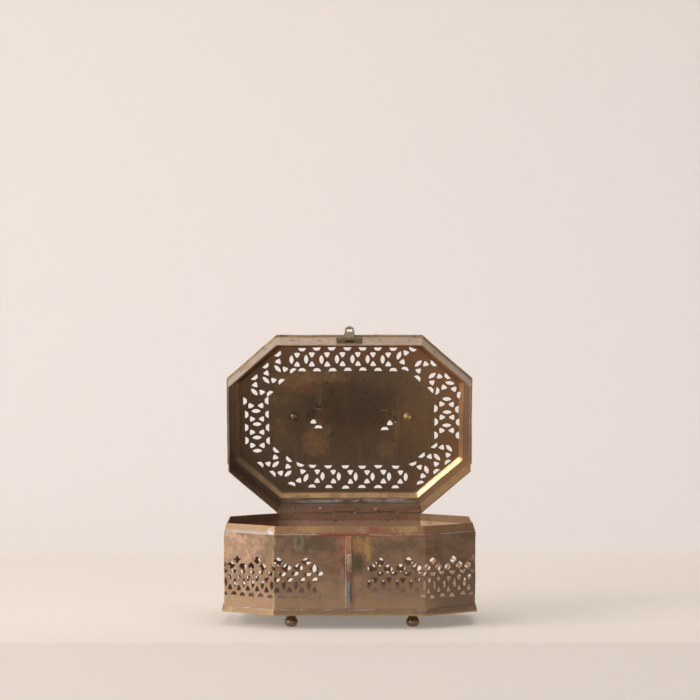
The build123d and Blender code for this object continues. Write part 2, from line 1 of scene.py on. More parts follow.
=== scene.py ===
# %% [markdown]
# # An old pierced brass box, standing open
#
# The object is an eight-sided box of thin sheet brass on four turned feet. Its wall and its lid
# are pierced with small punched holes. The lid stands open and leans forward a little.
#
# The exact sizes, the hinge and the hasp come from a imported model, which is the fixed frame for
# this lesson. Everything here is drawn in metres in that frame, so nothing has to be fitted by
# eye: a piece goes where the frame says.

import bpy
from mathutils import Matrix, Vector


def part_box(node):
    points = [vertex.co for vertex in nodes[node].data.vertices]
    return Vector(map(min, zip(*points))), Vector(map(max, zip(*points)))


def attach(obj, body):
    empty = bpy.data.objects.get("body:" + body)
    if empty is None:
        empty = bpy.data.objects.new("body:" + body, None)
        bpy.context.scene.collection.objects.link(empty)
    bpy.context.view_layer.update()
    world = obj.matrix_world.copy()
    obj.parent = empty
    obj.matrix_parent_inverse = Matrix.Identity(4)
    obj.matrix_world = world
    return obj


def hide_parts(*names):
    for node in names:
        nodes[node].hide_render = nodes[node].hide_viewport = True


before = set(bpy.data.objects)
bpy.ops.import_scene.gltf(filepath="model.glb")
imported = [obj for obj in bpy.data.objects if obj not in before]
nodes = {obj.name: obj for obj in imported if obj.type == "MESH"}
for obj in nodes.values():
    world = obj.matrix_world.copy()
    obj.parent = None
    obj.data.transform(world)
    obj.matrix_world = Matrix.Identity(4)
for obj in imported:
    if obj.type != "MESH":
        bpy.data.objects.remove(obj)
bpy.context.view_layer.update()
mm = 0.001

# %% [markdown]
# ## The camera
#
# The picture was taken from about three metres away with a long lens, so the box shows almost
# no perspective. The camera looks down by one and a half degrees and isn't shifted up or down.
# The tiny sideways shift puts the middle of the box half a pixel left of the picture's middle.

# %% Camera
from math import cos, degrees, floor, hypot, pi, radians, sin, sqrt

import bpy

camera_tilt = 1.502
camera_data = bpy.data.cameras.new("camera")
camera_data.lens = 184.35
camera_data.sensor_width = 36.0
camera_data.shift_x = 0.0007
camera = bpy.data.objects.new("camera", camera_data)
camera.location = (0, -2.741, 0.2786)
camera.rotation_euler = (radians(90 - camera_tilt), 0, 0)
bpy.context.scene.collection.objects.link(camera)
bpy.context.scene.camera = camera
bpy.context.scene.view_settings.view_transform = "Standard"
print("camera", round(degrees(camera.rotation_euler.x), 2), "degrees from straight down")

# %% [markdown]
# ## A bench to work on
#
# Blender's operators act on everything that is selected, and loading the frame leaves its
# pieces selected. So each step first clears the bench, and then picks the faces or edges that
# it wants by asking each one where it is or which way it faces.

# %% Helpers for selecting and editing
from contextlib import contextmanager

import bmesh


def clear_bench():
    """Nothing is selected and no piece is being edited."""
    if bpy.context.object and bpy.context.object.mode != "OBJECT":
        bpy.ops.object.mode_set(mode="OBJECT")
    bpy.ops.object.select_all(action="DESELECT")


def lay_out(piece):
    """Only this piece is selected, and it is the active one."""
    clear_bench()
    piece.select_set(True)
    bpy.context.view_layer.objects.active = piece


@contextmanager
def editing(piece):
    """Edit mode on one piece, with all of it selected at first."""
    lay_out(piece)
    bpy.ops.object.mode_set(mode="EDIT")
    select_all()
    yield piece
    bpy.ops.object.mode_set(mode="OBJECT")


def pick(piece, kind, test):
    """Selects the verts, edges or faces of a piece in edit mode that pass the test."""
    bpy.ops.mesh.select_mode(type={"verts": "VERT", "edges": "EDGE", "faces": "FACE"}[kind])
    bpy.ops.mesh.select_all(action="DESELECT")
    shape = bmesh.from_edit_mesh(piece.data)
    chosen = [part for part in getattr(shape, kind) if test(part)]
    for part in chosen:
        part.select_set(True)
    shape.select_flush_mode()
    bmesh.update_edit_mesh(piece.data)
    return len(chosen)


def middle(edge):
    """The middle of an edge, in millimetres."""
    return (edge.verts[0].co + edge.verts[1].co) / (2 * mm)


def along(edge):
    """The direction of an edge."""
    return (edge.verts[1].co - edge.verts[0].co).normalized()


def select_all():
    """Everything of the piece that is being edited."""
    bpy.ops.mesh.select_all(action="SELECT")


def delete_faces(piece, test):
    """Deletes the faces that pass the test."""
    pick(piece, "faces", test)
    bpy.ops.mesh.delete(type="FACE")


def extrude(x, y, z):
    """Extrudes what is selected by a move in millimetres."""
    bpy.ops.mesh.extrude_region_move(TRANSFORM_OT_translate={"value": (x * mm, y * mm, z * mm)})


def bevel(width, segments):
    """Replaces the selected edges by round bends, or by flat cuts if there is one segment."""
    bpy.ops.mesh.bevel(offset=width * mm, offset_type="OFFSET", segments=segments, affect="EDGES")


def resize(x, y, z, centre=(0, 0, 0)):
    """Scales what is selected about a centre in metres."""
    bpy.ops.transform.resize(value=(x, y, z), center_override=centre)


def fix_place(piece, name):
    """Names a new piece and moves its place, turn and size into its mesh."""
    piece.name = name
    lay_out(piece)
    bpy.ops.object.transform_apply(location=True, rotation=True, scale=True)
    return piece


def apply_all(piece):
    """Applies the modifiers of a piece, first to last."""
    lay_out(piece)
    for modifier in list(piece.modifiers):
        bpy.ops.object.modifier_apply(modifier=modifier.name)
    return piece


def face_outwards(piece):
    """Merges doubled corners, then turns every face to the outside."""
    with editing(piece):
        bpy.ops.mesh.remove_doubles(threshold=0.00001)
        bpy.ops.mesh.normals_make_consistent(inside=False)
    return piece


def thicken(piece, thickness, inside=0, rim=0):
    """Gives a sheet its thickness, inwards of its faces. Its inside and rim may have
    materials of their own, which are that many slots further on."""
    modifier = piece.modifiers.new("thickness", "SOLIDIFY")
    modifier.thickness = thickness * mm
    modifier.offset = -1
    modifier.use_even_offset = True
    modifier.material_offset = inside
    modifier.material_offset_rim = rim
    return apply_all(piece)


def soften(piece, width, segments=2, angle=35):
    """Rounds the sharp edges of a piece by a hair, as filing and handling do."""
    modifier = piece.modifiers.new("soft edges", "BEVEL")
    modifier.width = width * mm
    modifier.segments = segments
    modifier.limit_method = "ANGLE"
    modifier.angle_limit = radians(angle)
    modifier.harden_normals = False
    return apply_all(piece)


def shade(piece, angle=35):
    """Smooth shading, except over edges that are sharper than the angle."""
    lay_out(piece)
    bpy.ops.object.shade_smooth_by_angle(angle=radians(angle))
    return piece


clear_bench()
print("bench cleared:", len(bpy.context.selected_objects), "pieces selected")

# %% [markdown]
# ## The shelf and the wall behind it
#
# The box stands on a pale shelf before a pale wall. Both are plain, and neither is part of the
# object. A floor and a backdrop that run into each other in one long curve show no edge behind
# the box. The curve is made by extruding a floor's far edge upwards and bevelling the bend.

# %% Floor and backdrop
floor_width, floor_depth, floor_middle = 16000, 10400, -3800
wall_height, bend_width = 4000, 600
far_edge = floor_middle + floor_depth / 2
clear_bench()
bpy.ops.mesh.primitive_plane_add(size=1, location=(0, 0, 0))
backdrop = bpy.context.object
backdrop.scale = (floor_width * mm, floor_depth * mm, 1)
backdrop.location = (0, floor_middle * mm, 0)
fix_place(backdrop, "backdrop")
with editing(backdrop):
    pick(backdrop, "edges", lambda e: middle(e).y > far_edge - 100)
    extrude(0, 0, wall_height)
    pick(
        backdrop, "edges",
        lambda e: middle(e).y > far_edge - 100 and abs(middle(e).z) < 1 and abs(along(e).x) > 0.9,
    )
    bevel(bend_width, 16)
shade(backdrop, 60)
wall_face = max(backdrop.data.polygons, key=lambda face: face.center.z)
print("backdrop faces:", len(backdrop.data.polygons), "and its wall faces", tuple(wall_face.normal))

# %% [markdown]
# ## Light
#
# The light in the picture comes through a large window on the left and a little to the front.
# The room in front of the box is dimmer. Rough metal shows this plainly: the left side of the
# box is more than twice as bright as its front. One large soft lamp stands for that window, a
# weaker one for a window nearer the front, and a third, above, for the ceiling. A pale world
# fills in the rest. The levels of all four are set so that a grey card at the box would look
# about as grey as it is.

# %% Lamps and world
from mathutils import Matrix, Vector


def add(name, data):
    """A new object in the scene."""
    made = bpy.data.objects.new(name, data)
    bpy.context.scene.collection.objects.link(made)
    return made


def soft_lamp(name, place, width, height, power, colour):
    """A large lamp that faces the box."""
    data = bpy.data.lights.new(name, "AREA")
    data.shape = "RECTANGLE"
    data.size, data.size_y = width, height
    data.energy = power
    data.color = colour
    lamp = add(name, data)
    lamp.location = place
    lamp.rotation_euler = (aim - Vector(place)).to_track_quat("-Z", "Y").to_euler()


aim = Vector((0, 0, 0.08))
daylight, ceiling_light = (1.0, 0.965, 0.92), (1.0, 0.97, 0.94)
soft_lamp("window", (-1.9, -0.75, 0.95), 1.1, 1.4, 31, daylight)
soft_lamp("front_window", (-1.6, -1.7, 0.8), 0.6, 0.8, 15, daylight)
soft_lamp("ceiling", (0.2, 0.1, 2.3), 2.4, 2.0, 26, ceiling_light)

world = bpy.data.worlds.new("room")
bpy.context.scene.world = world
world.use_nodes = True
background = world.node_tree.nodes["Background"]
background.inputs["Color"].default_value = (1.0, 0.955, 0.915, 1)
background.inputs["Strength"].default_value = 0.30

# %% [markdown]
# ## Writing materials as sums
#
# A material in Blender is a net of nodes. Drawn by hand, even a simple sum takes three boxes
# and four wires. The small class below stands for one wire. Adding, subtracting or multiplying
# two of them adds the Math node, so a mask can be written as 1 - mask. Every other node comes
# from one method, which takes the node's type, its settings and what goes into its sockets.

# %% One wire of a material


class Wire:
    """An output socket. Python's + - * / on it add Math nodes to its material."""

    def __init__(self, tree, socket):
        self.tree, self.socket = tree, socket

    def node(self, kind, settings=None, sockets=None, out=0):
        """Adds a node, sets it, fills its sockets with values or wires, returns one output."""
        made = self.tree.nodes.new(kind)
        for name, value in (settings or {}).items():
            setattr(made, name, value)
        for name, value in (sockets or {}).items():
            if isinstance(value, Wire):
                self.tree.links.new(value.socket, made.inputs[name])
            else:
                made.inputs[name].default_value = value
        return Wire(self.tree, made.outputs[out])

    def math(self, operation, first, second=0.0):
        return self.node("ShaderNodeMath", {"operation": operation}, {0: first, 1: second})

    def __add__(self, other):
        return self.math("ADD", self, other)

    __radd__ = __add__

    def __sub__(self, other):
        return self.math("SUBTRACT", self, other)

    def __rsub__(self, other):
        return self.math("SUBTRACT", other, self)

    def __mul__(self, other):
        return self.math("MULTIPLY", self, other)

    __rmul__ = __mul__

    def __truediv__(self, other):
        return self.math("DIVIDE", self, other)

    def __rtruediv__(self, other):
        return self.math("DIVIDE", other, self)


def new_material(name):
    """An empty material: its shader node, and a wire that carries the place on the object."""
    material = bpy.data.materials.new(name)
    material.use_nodes = True
    shader = material.node_tree.nodes["Principled BSDF"]
    texture_place = material.node_tree.nodes.new("ShaderNodeTexCoord")
    return material, shader, Wire(material.node_tree, texture_place.outputs["Object"])


def feed(shader, name, wire):
    """Leads a wire into one socket of the shader."""
    wire.tree.links.new(wire.socket, shader.inputs[name])


print("wires are ready")

# %% [markdown]
# ## Clouds, steps and spots
#
# Old brass is never one colour. It has broad clouds, small mottling and single stains. Three
# helpers are enough for all of them. A cloud is soft noise whose size is given in millimetres.
# A step turns a part of a value's range into a mask with soft edges. A spot is a patch with a
# ragged edge around one place on the object: mostly a stain, and once the staple's painted shadow.

# %% Helpers for patterns


def cloud(place, size, detail=4.0, roughness=0.55, swirl=0.0, seed=0.0):
    """Soft noise, about 0.25 to 0.75. The size is in millimetres, one number or one per axis."""
    sizes = size if isinstance(size, tuple) else (size, size, size)
    spread = place.node(
        "ShaderNodeVectorMath",
        {"operation": "MULTIPLY"},
        {0: place, 1: tuple(1000 / s for s in sizes)},
    )
    return spread.node(
        "ShaderNodeTexNoise",
        {"noise_dimensions": "4D"},
        {
            "Vector": spread, "W": seed, "Scale": 1.0,
            "Detail": detail, "Roughness": roughness, "Distortion": swirl,
        },
    )


def step(value, low, high):
    """0 below low, 1 above high, and a soft rise between them."""
    return value.node(
        "ShaderNodeMapRange",
        {"interpolation_type": "SMOOTHSTEP"},
        {"Value": value, "From Min": low, "From Max": high},
    )


def below(value, low, high):
    """1 below low, 0 above high: the opposite of a step."""
    return 1 - step(value, low, high)


def spot(place, centre, radii, ragged=0.5, seed=0.0):
    """A patch round a place in millimetres, with its half sizes. It is ragged and patchy. Most are
    stains; one is the staple's painted shadow.
    """
    offset = place.node(
        "ShaderNodeVectorMath",
        {"operation": "SUBTRACT"},
        {0: place, 1: tuple(c * mm for c in centre)},
    )
    scaled = place.node(
        "ShaderNodeVectorMath",
        {"operation": "DIVIDE"},
        {0: offset, 1: tuple(r * mm for r in radii)},
    )
    reach = place.node("ShaderNodeVectorMath", {"operation": "LENGTH"}, {0: scaled}, out=1)
    edge = cloud(place, sorted(radii)[0] * 0.8 + 1.5, 5, 0.65, 0.8, seed + 3.7)
    patchy = step(cloud(place, 2.4, 4, 0.7, 0.6, seed + 5.1), 0.34, 0.62)
    return below(reach + (edge - 0.5) * (ragged * 3), 0.45, 1.15) * (patchy * 0.6 + 0.4)


def tint(under, over, mask):
    """The colour over laid on the colour under where the mask is 1."""
    return mask.node("ShaderNodeMix", {"data_type": "RGBA"}, {0: mask, 6: under, 7: over}, out=2)


def lay_on(colour, *coats):
    """A colour under several coats of (colour, mask), the first of them lowest."""
    for over, mask in coats:
        colour = tint(colour, over, mask)
    return colour


def axes(place):
    """The three coordinates of a place, in millimetres."""
    parts = [place.node("ShaderNodeSeparateXYZ", {}, {0: place}, out=i) for i in range(3)]
    return [part * 1000.0 for part in parts]


def bump(place, height, distance, strength=1.0):
    """A surface direction that follows a height, whose full range is the distance, in mm."""
    return place.node(
        "ShaderNodeBump", {}, {"Height": height, "Distance": distance * mm, "Strength": strength}
    )


print("pattern helpers: cloud, step, below, spot, tint, lay_on, axes, bump")

# %% [markdown]
# ## The pale shelf and wall
#
# The shelf is a little warmer than the wall, and they meet in a very soft line behind the box.
# The photograph's shadows are light, because its room is pale all round. So a part of what the
# camera sees of the backdrop is plain glow, and the rest takes light and shadow as usual. The
# back of the wall is left out of the picture, so that the box can also be looked at from behind.

# %% Backdrop finish
wall_paint, shelf_paint = (0.793, 0.737, 0.715, 1), (0.769, 0.705, 0.644, 1)
wall_glow, shelf_glow = (0.850, 0.778, 0.744, 1), (0.836, 0.740, 0.649, 1)
shelf_front, shelf_edge = (0.720, 0.655, 0.600, 1), (0.660, 0.594, 0.557, 1)
pale_paint, paint, place = new_material("pale_paint")
x, y, z = axes(place)
behind = step(y, 520, 720)
ahead = below(y, -250, 20)
shelf_colour = tint(shelf_paint, shelf_front, ahead)
shelf_colour = tint(shelf_colour, shelf_edge, below(y, -168, -164))
feed(paint, "Base Color", tint(shelf_colour, wall_paint, behind))
paint.inputs["Roughness"].default_value = 0.85
paint.inputs["Specular IOR Level"].default_value = 0.2
path = {
    name: place.node("ShaderNodeLightPath", out=number)
    for number, name in ((0, "camera"), (3, "glossy"), (6, "clear"))
}
seen = path["camera"] + path["glossy"] + path["clear"]
glow = place.node("ShaderNodeEmission", {}, {"Color": tint(shelf_glow, wall_glow, behind)})
both = place.node("ShaderNodeMixShader", {}, {0: seen * 0.28, 2: glow})
tree = pale_paint.node_tree
tree.links.new(paint.outputs[0], both.socket.node.inputs[1])
from_outside = place.node("ShaderNodeNewGeometry", out=6) * path["camera"]
nothing = place.node("ShaderNodeBsdfTransparent")
open_back = place.node("ShaderNodeMixShader", {}, {0: from_outside, 2: nothing})
tree.links.new(both.socket, open_back.socket.node.inputs[1])
tree.links.new(open_back.socket, tree.nodes["Material Output"].inputs["Surface"])
backdrop.data.materials.append(pale_paint)
print("light path outputs used:", [w.socket.name for w in path.values()])

# %% [markdown]
# ## Brass that has been handled for years
#
# Polished brass is yellow. Left alone it goes brown and greenish grey, and where hands and
# cloths rub it, the yellow comes back. The ground below is shared by every brass surface of the
# box: three tones in soft clouds, fine specks, and a roughness that follows them, because the
# dark crust is dull and the rubbed metal is bright. Each finish then adds its own stains.

# %% The ground of every brass finish


def brass_ground(place, dark, brown, gold, rubbed=0.5, seed=0.0, size=1.0):
    """Colour, dullness and height of aged brass. Rubbed moves the share of bright metal."""
    broad = cloud(place, 30 * size, 3, 0.5, 0.6, seed)
    mottle = cloud(place, 9 * size, 5, 0.6, 0.8, seed + 1)
    fine = cloud(place, 2.2 * size, 4, 0.65, 0.2, seed + 2)
    specks = cloud(place, 0.7, 2, 0.5, 0, seed + 3)
    lower = 0.16 * rubbed
    bright = step(broad * 0.45 + mottle * 0.35 + fine * 0.2, 0.62 - lower, 0.78 - lower)
    crust = step(mottle * 0.6 + fine * 0.4, 0.53, 0.64)
    colour = tint(brown, dark, crust * 0.75)
    colour = tint(colour, gold, bright)
    colour = tint(colour, dark, step(specks, 0.63, 0.72) * 0.4)
    dull = 0.56 - bright * 0.16 + crust * 0.1 + (fine - 0.5) * 0.25
    height = mottle * 0.5 + fine * 0.3 + specks * 0.08
    return colour, dull, height


def close_brass(name, make, metallic=0.9):
    """A finished brass material from a function that returns colour, dullness and normal."""
    material, shader, place = new_material(name)
    colour, dull, normal = make(place)
    feed(shader, "Base Color", colour)
    feed(shader, "Roughness", dull)
    feed(shader, "Normal", normal)
    shader.inputs["Metallic"].default_value = metallic
    return material


def bend_wear_and_highlight(place):
    """A mask of the eight upright bends of the body's outline, painted lighter: partly polish from
    handling, partly painted highlight.
    """
    flat = place.node(
        "ShaderNodeVectorMath", {"operation": "MULTIPLY"}, {0: place, 1: (1, 1, 0)}
    )
    folded = place.node("ShaderNodeVectorMath", {"operation": "ABSOLUTE"}, {0: flat})
    mask = 0.0
    for corner in ((0.0565, 0.070, 0), (0.095, 0.035, 0)):
        far = place.node(
            "ShaderNodeVectorMath", {"operation": "DISTANCE"}, {0: folded, 1: corner}, out=1
        )
        mask = below(far * 1000, 0.5, 2.2) + mask
    x, y, z = axes(place)
    # Strongest on the left, where the window is: handling there, and painted highlight.
    handled_and_lit = 1 - step(x, -30, 10) * 0.7
    return mask * handled_and_lit * step(cloud(place, (9, 9, 14), 4, 0.65, 0.5, 17), 0.40, 0.62)


print("ground of the brass ready")

# %% [markdown]
# ## The wall's finish
#
# The body's sheet is greyish brown, and lighter and more golden near its foot, where it is
# rubbed. Soldering the seam and the collar left red and pink heat stains beside them, and a
# golden patch to the right of the seam. A drip of flux left a small green horseshoe under the
# collar. The staple's shadow is painted on the wall to its right as a dark patch. The bends are
# painted lighter, most of all on the window side: partly polish from handling, partly painted
# highlight. The right end is painted darker, as painted shade.

# %% Wall finish
corner_width, corner_depth = 38.5, 35.0
wall_width, wall_depth = 190.0, 140.0
wall_front = -70
grey_brown = (0.215, 0.155, 0.112, 1)
warm_brown = (0.298, 0.195, 0.124, 1)
tan_gold = (0.465, 0.318, 0.190, 1)
copper_red = (0.400, 0.150, 0.090, 1)
crimson = (0.300, 0.060, 0.055, 1)
brick = (0.480, 0.190, 0.130, 1)
plum = (0.190, 0.080, 0.070, 1)
pink = (0.560, 0.310, 0.250, 1)
amber = (0.460, 0.250, 0.100, 1)
straw = (0.640, 0.440, 0.170, 1)
verdigris = (0.210, 0.240, 0.170, 1)
soot = (0.050, 0.042, 0.036, 1)
solder = (0.520, 0.540, 0.560, 1)
dark_olive = (0.135, 0.100, 0.066, 1)
skirt_tan = (0.470, 0.360, 0.270, 1)
olive_grey = (0.440, 0.380, 0.280, 1)
blush = (0.640, 0.400, 0.290, 1)
mauve_brown = (0.190, 0.130, 0.100, 1)
bend_tan = (0.620, 0.480, 0.310, 1)
wall_stains_and_shadow = (
    ((-5.0, 62), (2.4, 8), 0.7, brick, 0.65), ((-8.0, 58), (3.2, 6), 0.9, brick, 0.45),
    ((-5.2, 51), (2.4, 5), 0.7, plum, 0.60), ((-5.5, 42), (2.0, 7), 0.8, pink, 0.55),
    ((-5.0, 28), (2.2, 9), 0.8, pink, 0.35), ((6.0, 64), (5.5, 7), 0.9, amber, 0.85),
    ((12.0, 60), (8.5, 9), 0.9, amber, 0.50), ((13.0, 61), (2.4, 8), 0.8, straw, 0.50),
    ((14.5, 54), (2.2, 4), 0.8, straw, 0.35), ((6.0, 37), (3.6, 7), 0.9, pink, 0.45),
    # The dark olive spot at 6.6, 48.8 on the next line is painted shadow: the staple's shadow on
    # the wall to its right.
    ((3.2, 22), (1.3, 7), 0.9, crimson, 0.40), ((6.6, 48.8), (4.8, 9.5), 0.45, dark_olive, 0.85),
    ((-27, 58), (6.5, 2.2), 0.9, pink, 0.50), ((-33, 53), (3.0, 3.0), 0.9, pink, 0.35),
    ((-20, 30), (9.0, 9), 0.9, tan_gold, 0.35), ((30, 62), (12.0, 6), 0.9, dark_olive, 0.55),
    ((-30, 62), (26.0, 9), 0.9, dark_olive, 0.78),
)


def wall_look(place):
    x, y, z = axes(place)
    colour, dull, height = brass_ground(place, grey_brown, warm_brown, tan_gold, 0.35, 2)
    patches = step(cloud(place, (34, 34, 22), 4, 0.6, 1, 6), 0.46, 0.60)
    low = below(z + (cloud(place, 14, 4, 0.6, 0.5, 5) - 0.5) * 34, 14, 32)
    orange = step(cloud(place, 15, 5, 0.65, 1.2, 8), 0.54, 0.68)
    rose = step(cloud(place, 10, 5, 0.65, 1, 15), 0.60, 0.70)
    left_end = below(x + (cloud(place, 20, 3, seed=16) - 0.5) * 30, -74, -58)
    clouds = step(cloud(place, 7, 6, 0.72, 0.5, 18), 0.46, 0.60)
    greyed = step(cloud(place, 9, 6, 0.72, 0.5, 19), 0.48, 0.62)
    colour = lay_on(
        colour,
        (dark_olive, patches * step(z, 30, 48) * 0.55),
        (tan_gold, low * 0.50),
        (copper_red, orange * 0.32),
        (pink, rose * 0.32),
        (olive_grey, left_end * greyed * 0.45),
        (blush, left_end * (step(z, 36, 58) * 0.35 + 0.12) * (0.4 + clouds)),
    )
    # Stains, and the staple's painted shadow.
    for (across, up), (wide, high), ragged, over, share in wall_stains_and_shadow:
        patch = spot(place, (across, wall_front, up), (wide, 12, high), ragged, wide)
        colour = tint(colour, over, patch * share)
    # Painted shade: the right end, which faces away from the window, is painted a darker mauve
    # brown, most of all low down.
    right_end = step(x + (cloud(place, 20, 3, seed=17) - 0.5) * 16, 58, 70)
    under_collar = step(z + (cloud(place, 2.6, 4, 0.6, 0.3, 9) - 0.5) * 5, 68.1, 69.6)
    zones = step(cloud(place, 16, 3, seed=10), 0.49, 0.55)
    ring = spot(place, (-38, wall_front, 64.6), (4.6, 12, 8), 0.12, 7)
    inside = spot(place, (-38, wall_front, 66), (3.1, 12, 7.4), 0.12, 8)
    core = spot(place, (-38, wall_front, 66), (0.9, 12, 3.6), 0.4, 9)
    wear_and_sheen = bend_wear_and_highlight(place)
    scratches = cloud(place, (14, 14, 0.5), 2, 0.5, 0, 12)
    colour = lay_on(
        colour,
        (mauve_brown, right_end * (1 - step(z, 30, 60) * 0.6) * 0.6),
        (crimson, under_collar * zones * 0.55),
        (skirt_tan, ring * (1 - inside) * 0.55),
        (verdigris, inside * 0.35),
        (soot, core * 0.75),
        (bend_tan, wear_and_sheen * 0.5),
        (straw, step(scratches, 0.66, 0.72) * 0.2),
    )
    return colour, dull - wear_and_sheen * 0.1, bump(place, height + scratches * 0.12, 0.25)


wall_brass = close_brass("wall_brass", wall_look)
print("wall finish:", len(wall_brass.node_tree.nodes), "nodes")

# %% [markdown]
# ## The inside of the box, and the cut edges
#
# Nobody polishes the inside of such a box. It is dark brown, with redder clouds where the heat
# of soldering reached it. The cut edges of the holes were never polished either, but they are
# clean metal, so they are a little lighter than the sheet and show as a thin rim round a hole.

# %% Inside finish and cut edges
inside_dark = (0.140, 0.090, 0.062, 1)
inside_brown = (0.430, 0.270, 0.190, 1)
inside_tan = (0.590, 0.435, 0.265, 1)
low_grey = (0.500, 0.440, 0.370, 1)
dust = (0.760, 0.700, 0.620, 1)
flux_dust = (0.860, 0.800, 0.720, 1)


def inside_look(place):
    x, y, z = axes(place)
    colour, dull, height = brass_ground(place, inside_dark, inside_brown, inside_tan, 0.3, 21)
    ragged = (cloud(place, 18, 4, 0.6, 0.8, 25) - 0.5) * 50
    rose = step(cloud(place, 16, 5, 0.6, 1, 27), 0.52, 0.66)
    smear = spot(place, (-34, 68, 70), (5, 9, 14), 0.8, 28)
    low = below(z + ragged * 0.2, 14, 34)
    # Painted shade: a darker patch halfway up, from the middle to the right, where the back wall
    # shows through the front holes.
    dim = step(z, 18, 22) * below(z + ragged * 0.1, 36, 44)
    dim = dim * step(x, -8, 6) * below(x, 44, 60)
    dusty = below(z + ragged * 0.04, 12.5, 16.5) * (1 - step(x, -10, 50) * 0.7)
    colour = lay_on(
        colour,
        (inside_tan, step(x + ragged, 35, 75) * 0.55),
        (inside_dark, below(x + ragged, -66, -36) * 0.7),
        (copper_red, rose * 0.35),
        (pink, smear * 0.7),
        (low_grey, low * 0.55),
        (inside_dark, dim * 0.65),
        (flux_dust, dusty * 0.85),
    )
    return colour, dull + 0.06, bump(place, height, 0.25)


def fine_look(place, seed, under, over, low, high, dull, uneven, relief):
    """A small surface with one fine pattern, which drives its colour, dullness and relief."""
    fine = cloud(place, 1.5, 4, 0.6, 0.3, seed)
    colour = tint(under, over, step(fine, low, high))
    return colour, dull + (fine - 0.5) * uneven, bump(place, fine, relief)


def edge_look(place):
    return fine_look(place, 31, warm_brown, tan_gold, 0.40, 0.60, 0.42, 0.3, 0.08)


def floor_look(place):
    """Dust and old solder flux make the floor paler and duller than the walls; its right part is
    painted darker as shade.
    """
    x, y, z = axes(place)
    colour, dull, height = brass_ground(place, inside_brown, low_grey, dust, 0.5, 35)
    ragged = (cloud(place, 18, 3, 0.6, 0.5, 36) - 0.5) * 40
    # Painted shade: the right part of the floor is painted darker.
    colour = tint(colour, inside_brown, step(x + ragged, -6, 44) * 0.65)
    return colour, dull + 0.15, bump(place, height, 0.2)


inside_brass = close_brass("inside_brass", inside_look)
floor_brass = close_brass("floor_brass", floor_look, 0.4)
cut_edge = close_brass("cut_edge", edge_look)
print("inside and edge finishes ready")

# %% [markdown]
# ## The collar's finish
#
# The collar leans in above the wall and catches the light, so it looks more golden. Its lower
# edge was soldered to the wall all round: the solder shows as a thin broken line of grey and
# white, with dark red scale beside it. On the left the collar's corner was filled with solder,
# which has gone through the rainbow colours of heated metal.

# %% Collar finish
collar_brown = (0.350, 0.205, 0.110, 1)
collar_gold = (0.600, 0.390, 0.180, 1)
heat_blue = (0.300, 0.350, 0.400, 1)
pale_scale = (0.370, 0.365, 0.330, 1)
olive_dull = (0.290, 0.245, 0.175, 1)
heat_orange = (0.480, 0.200, 0.110, 1)
collar_front = -68


def collar_look(place):
    x, y, z = axes(place)
    colour, dull, height = brass_ground(place, warm_brown, collar_brown, collar_gold, 0.75, 41)
    red_zones = step(cloud(place, 18, 4, 0.6, 0.5, 44), 0.47, 0.56)
    low_edge = below(z + (cloud(place, 3, 4, 0.6, 0.3, 45) - 0.5) * 4, 70.6, 72.4)
    bare = step(x, -27, -19) * below(x, 12, 18)
    reddest = x.math("MAXIMUM", red_zones * 0.6, bare * 0.75)
    colour = tint(colour, crimson, low_edge * reddest)
    for (across, up), (wide, high), over, share in (
        ((17, 74), (5, 4), crimson, 0.60), ((25, 73), (7, 3), crimson, 0.35),
        ((44, 75), (9, 4), collar_gold, 0.70), ((60, 74), (9, 4), amber, 0.35),
        ((9, 74), (5, 3), pink, 0.45), ((-30, 75), (12, 4), collar_gold, 0.50),
        ((-84, 73), (22, 5), olive_dull, 1.0), ((-84, 76), (20, 4), olive_dull, 0.6),
        ((-74, 76), (9, 3), heat_orange, 0.30),
    ):
        patch = spot(place, (across, collar_front, up), (wide, 30, high), 0.8, wide + 40)
        colour = tint(colour, over, patch * share)
    ripple = (cloud(place, 2, 3, 0.6, 0.3, 49) - 0.5) * 1.4
    line = below(z + ripple * 1.4, 70.2, 71.4)
    soldered = step(cloud(place, (15, 15, 3), 5, 0.7, 0.8, 50), 0.40, 0.60)
    left_end = below(x, -66, -52)
    haze = below(z + ripple * 1.5, 70.6, 73.4) * left_end
    glint = line * soldered * (1 - bare)
    corner = spot(place, (-59.5, -67, 72.8), (4, 7, 3.4), 0.6, 51)
    rainbow = cloud(place, 2, 3, 0.6, 1, 52)
    heated = tint(solder, heat_blue, step(rainbow, 0.45, 0.53))
    heated = tint(heated, heat_orange, step(rainbow, 0.53, 0.60))
    # The bends are painted lighter here too: partly polish, partly painted highlight.
    wear_and_sheen = bend_wear_and_highlight(place)
    dull = dull - glint * 0.12 - corner * 0.05
    colour = lay_on(
        colour,
        (pale_scale, haze * 0.7),
        (heated, corner * 0.75),
        (solder, glint * (0.75 - left_end * 0.3)),
        (straw, wear_and_sheen * 0.4),
    )
    return colour, dull, bump(place, height + glint * 0.8 + corner * rainbow, 0.3)


collar_brass = close_brass("collar_brass", collar_look)
print("collar finish:", len(collar_brass.node_tree.nodes), "nodes")

# %% [markdown]
# ## The lid's two sides
#
# The inside of the lid, which faces the camera, is dark olive brown in the middle, where
# nothing ever rubbed it, and reddish brown towards its right and upper borders. Orange flecks
# lie round the handle's rivets. The outside is what hands and cloths reach, so it is lighter.
# Light is painted on the inside too: the lower part is painted lighter, the rubbed riser and the
# right of the skirt are painted gold where the window catches them, the shaded left is a lighter
# shade grey, and there are a blue-white painted reflection on the bottom border and a pale gold
# painted highlight on the top edge.

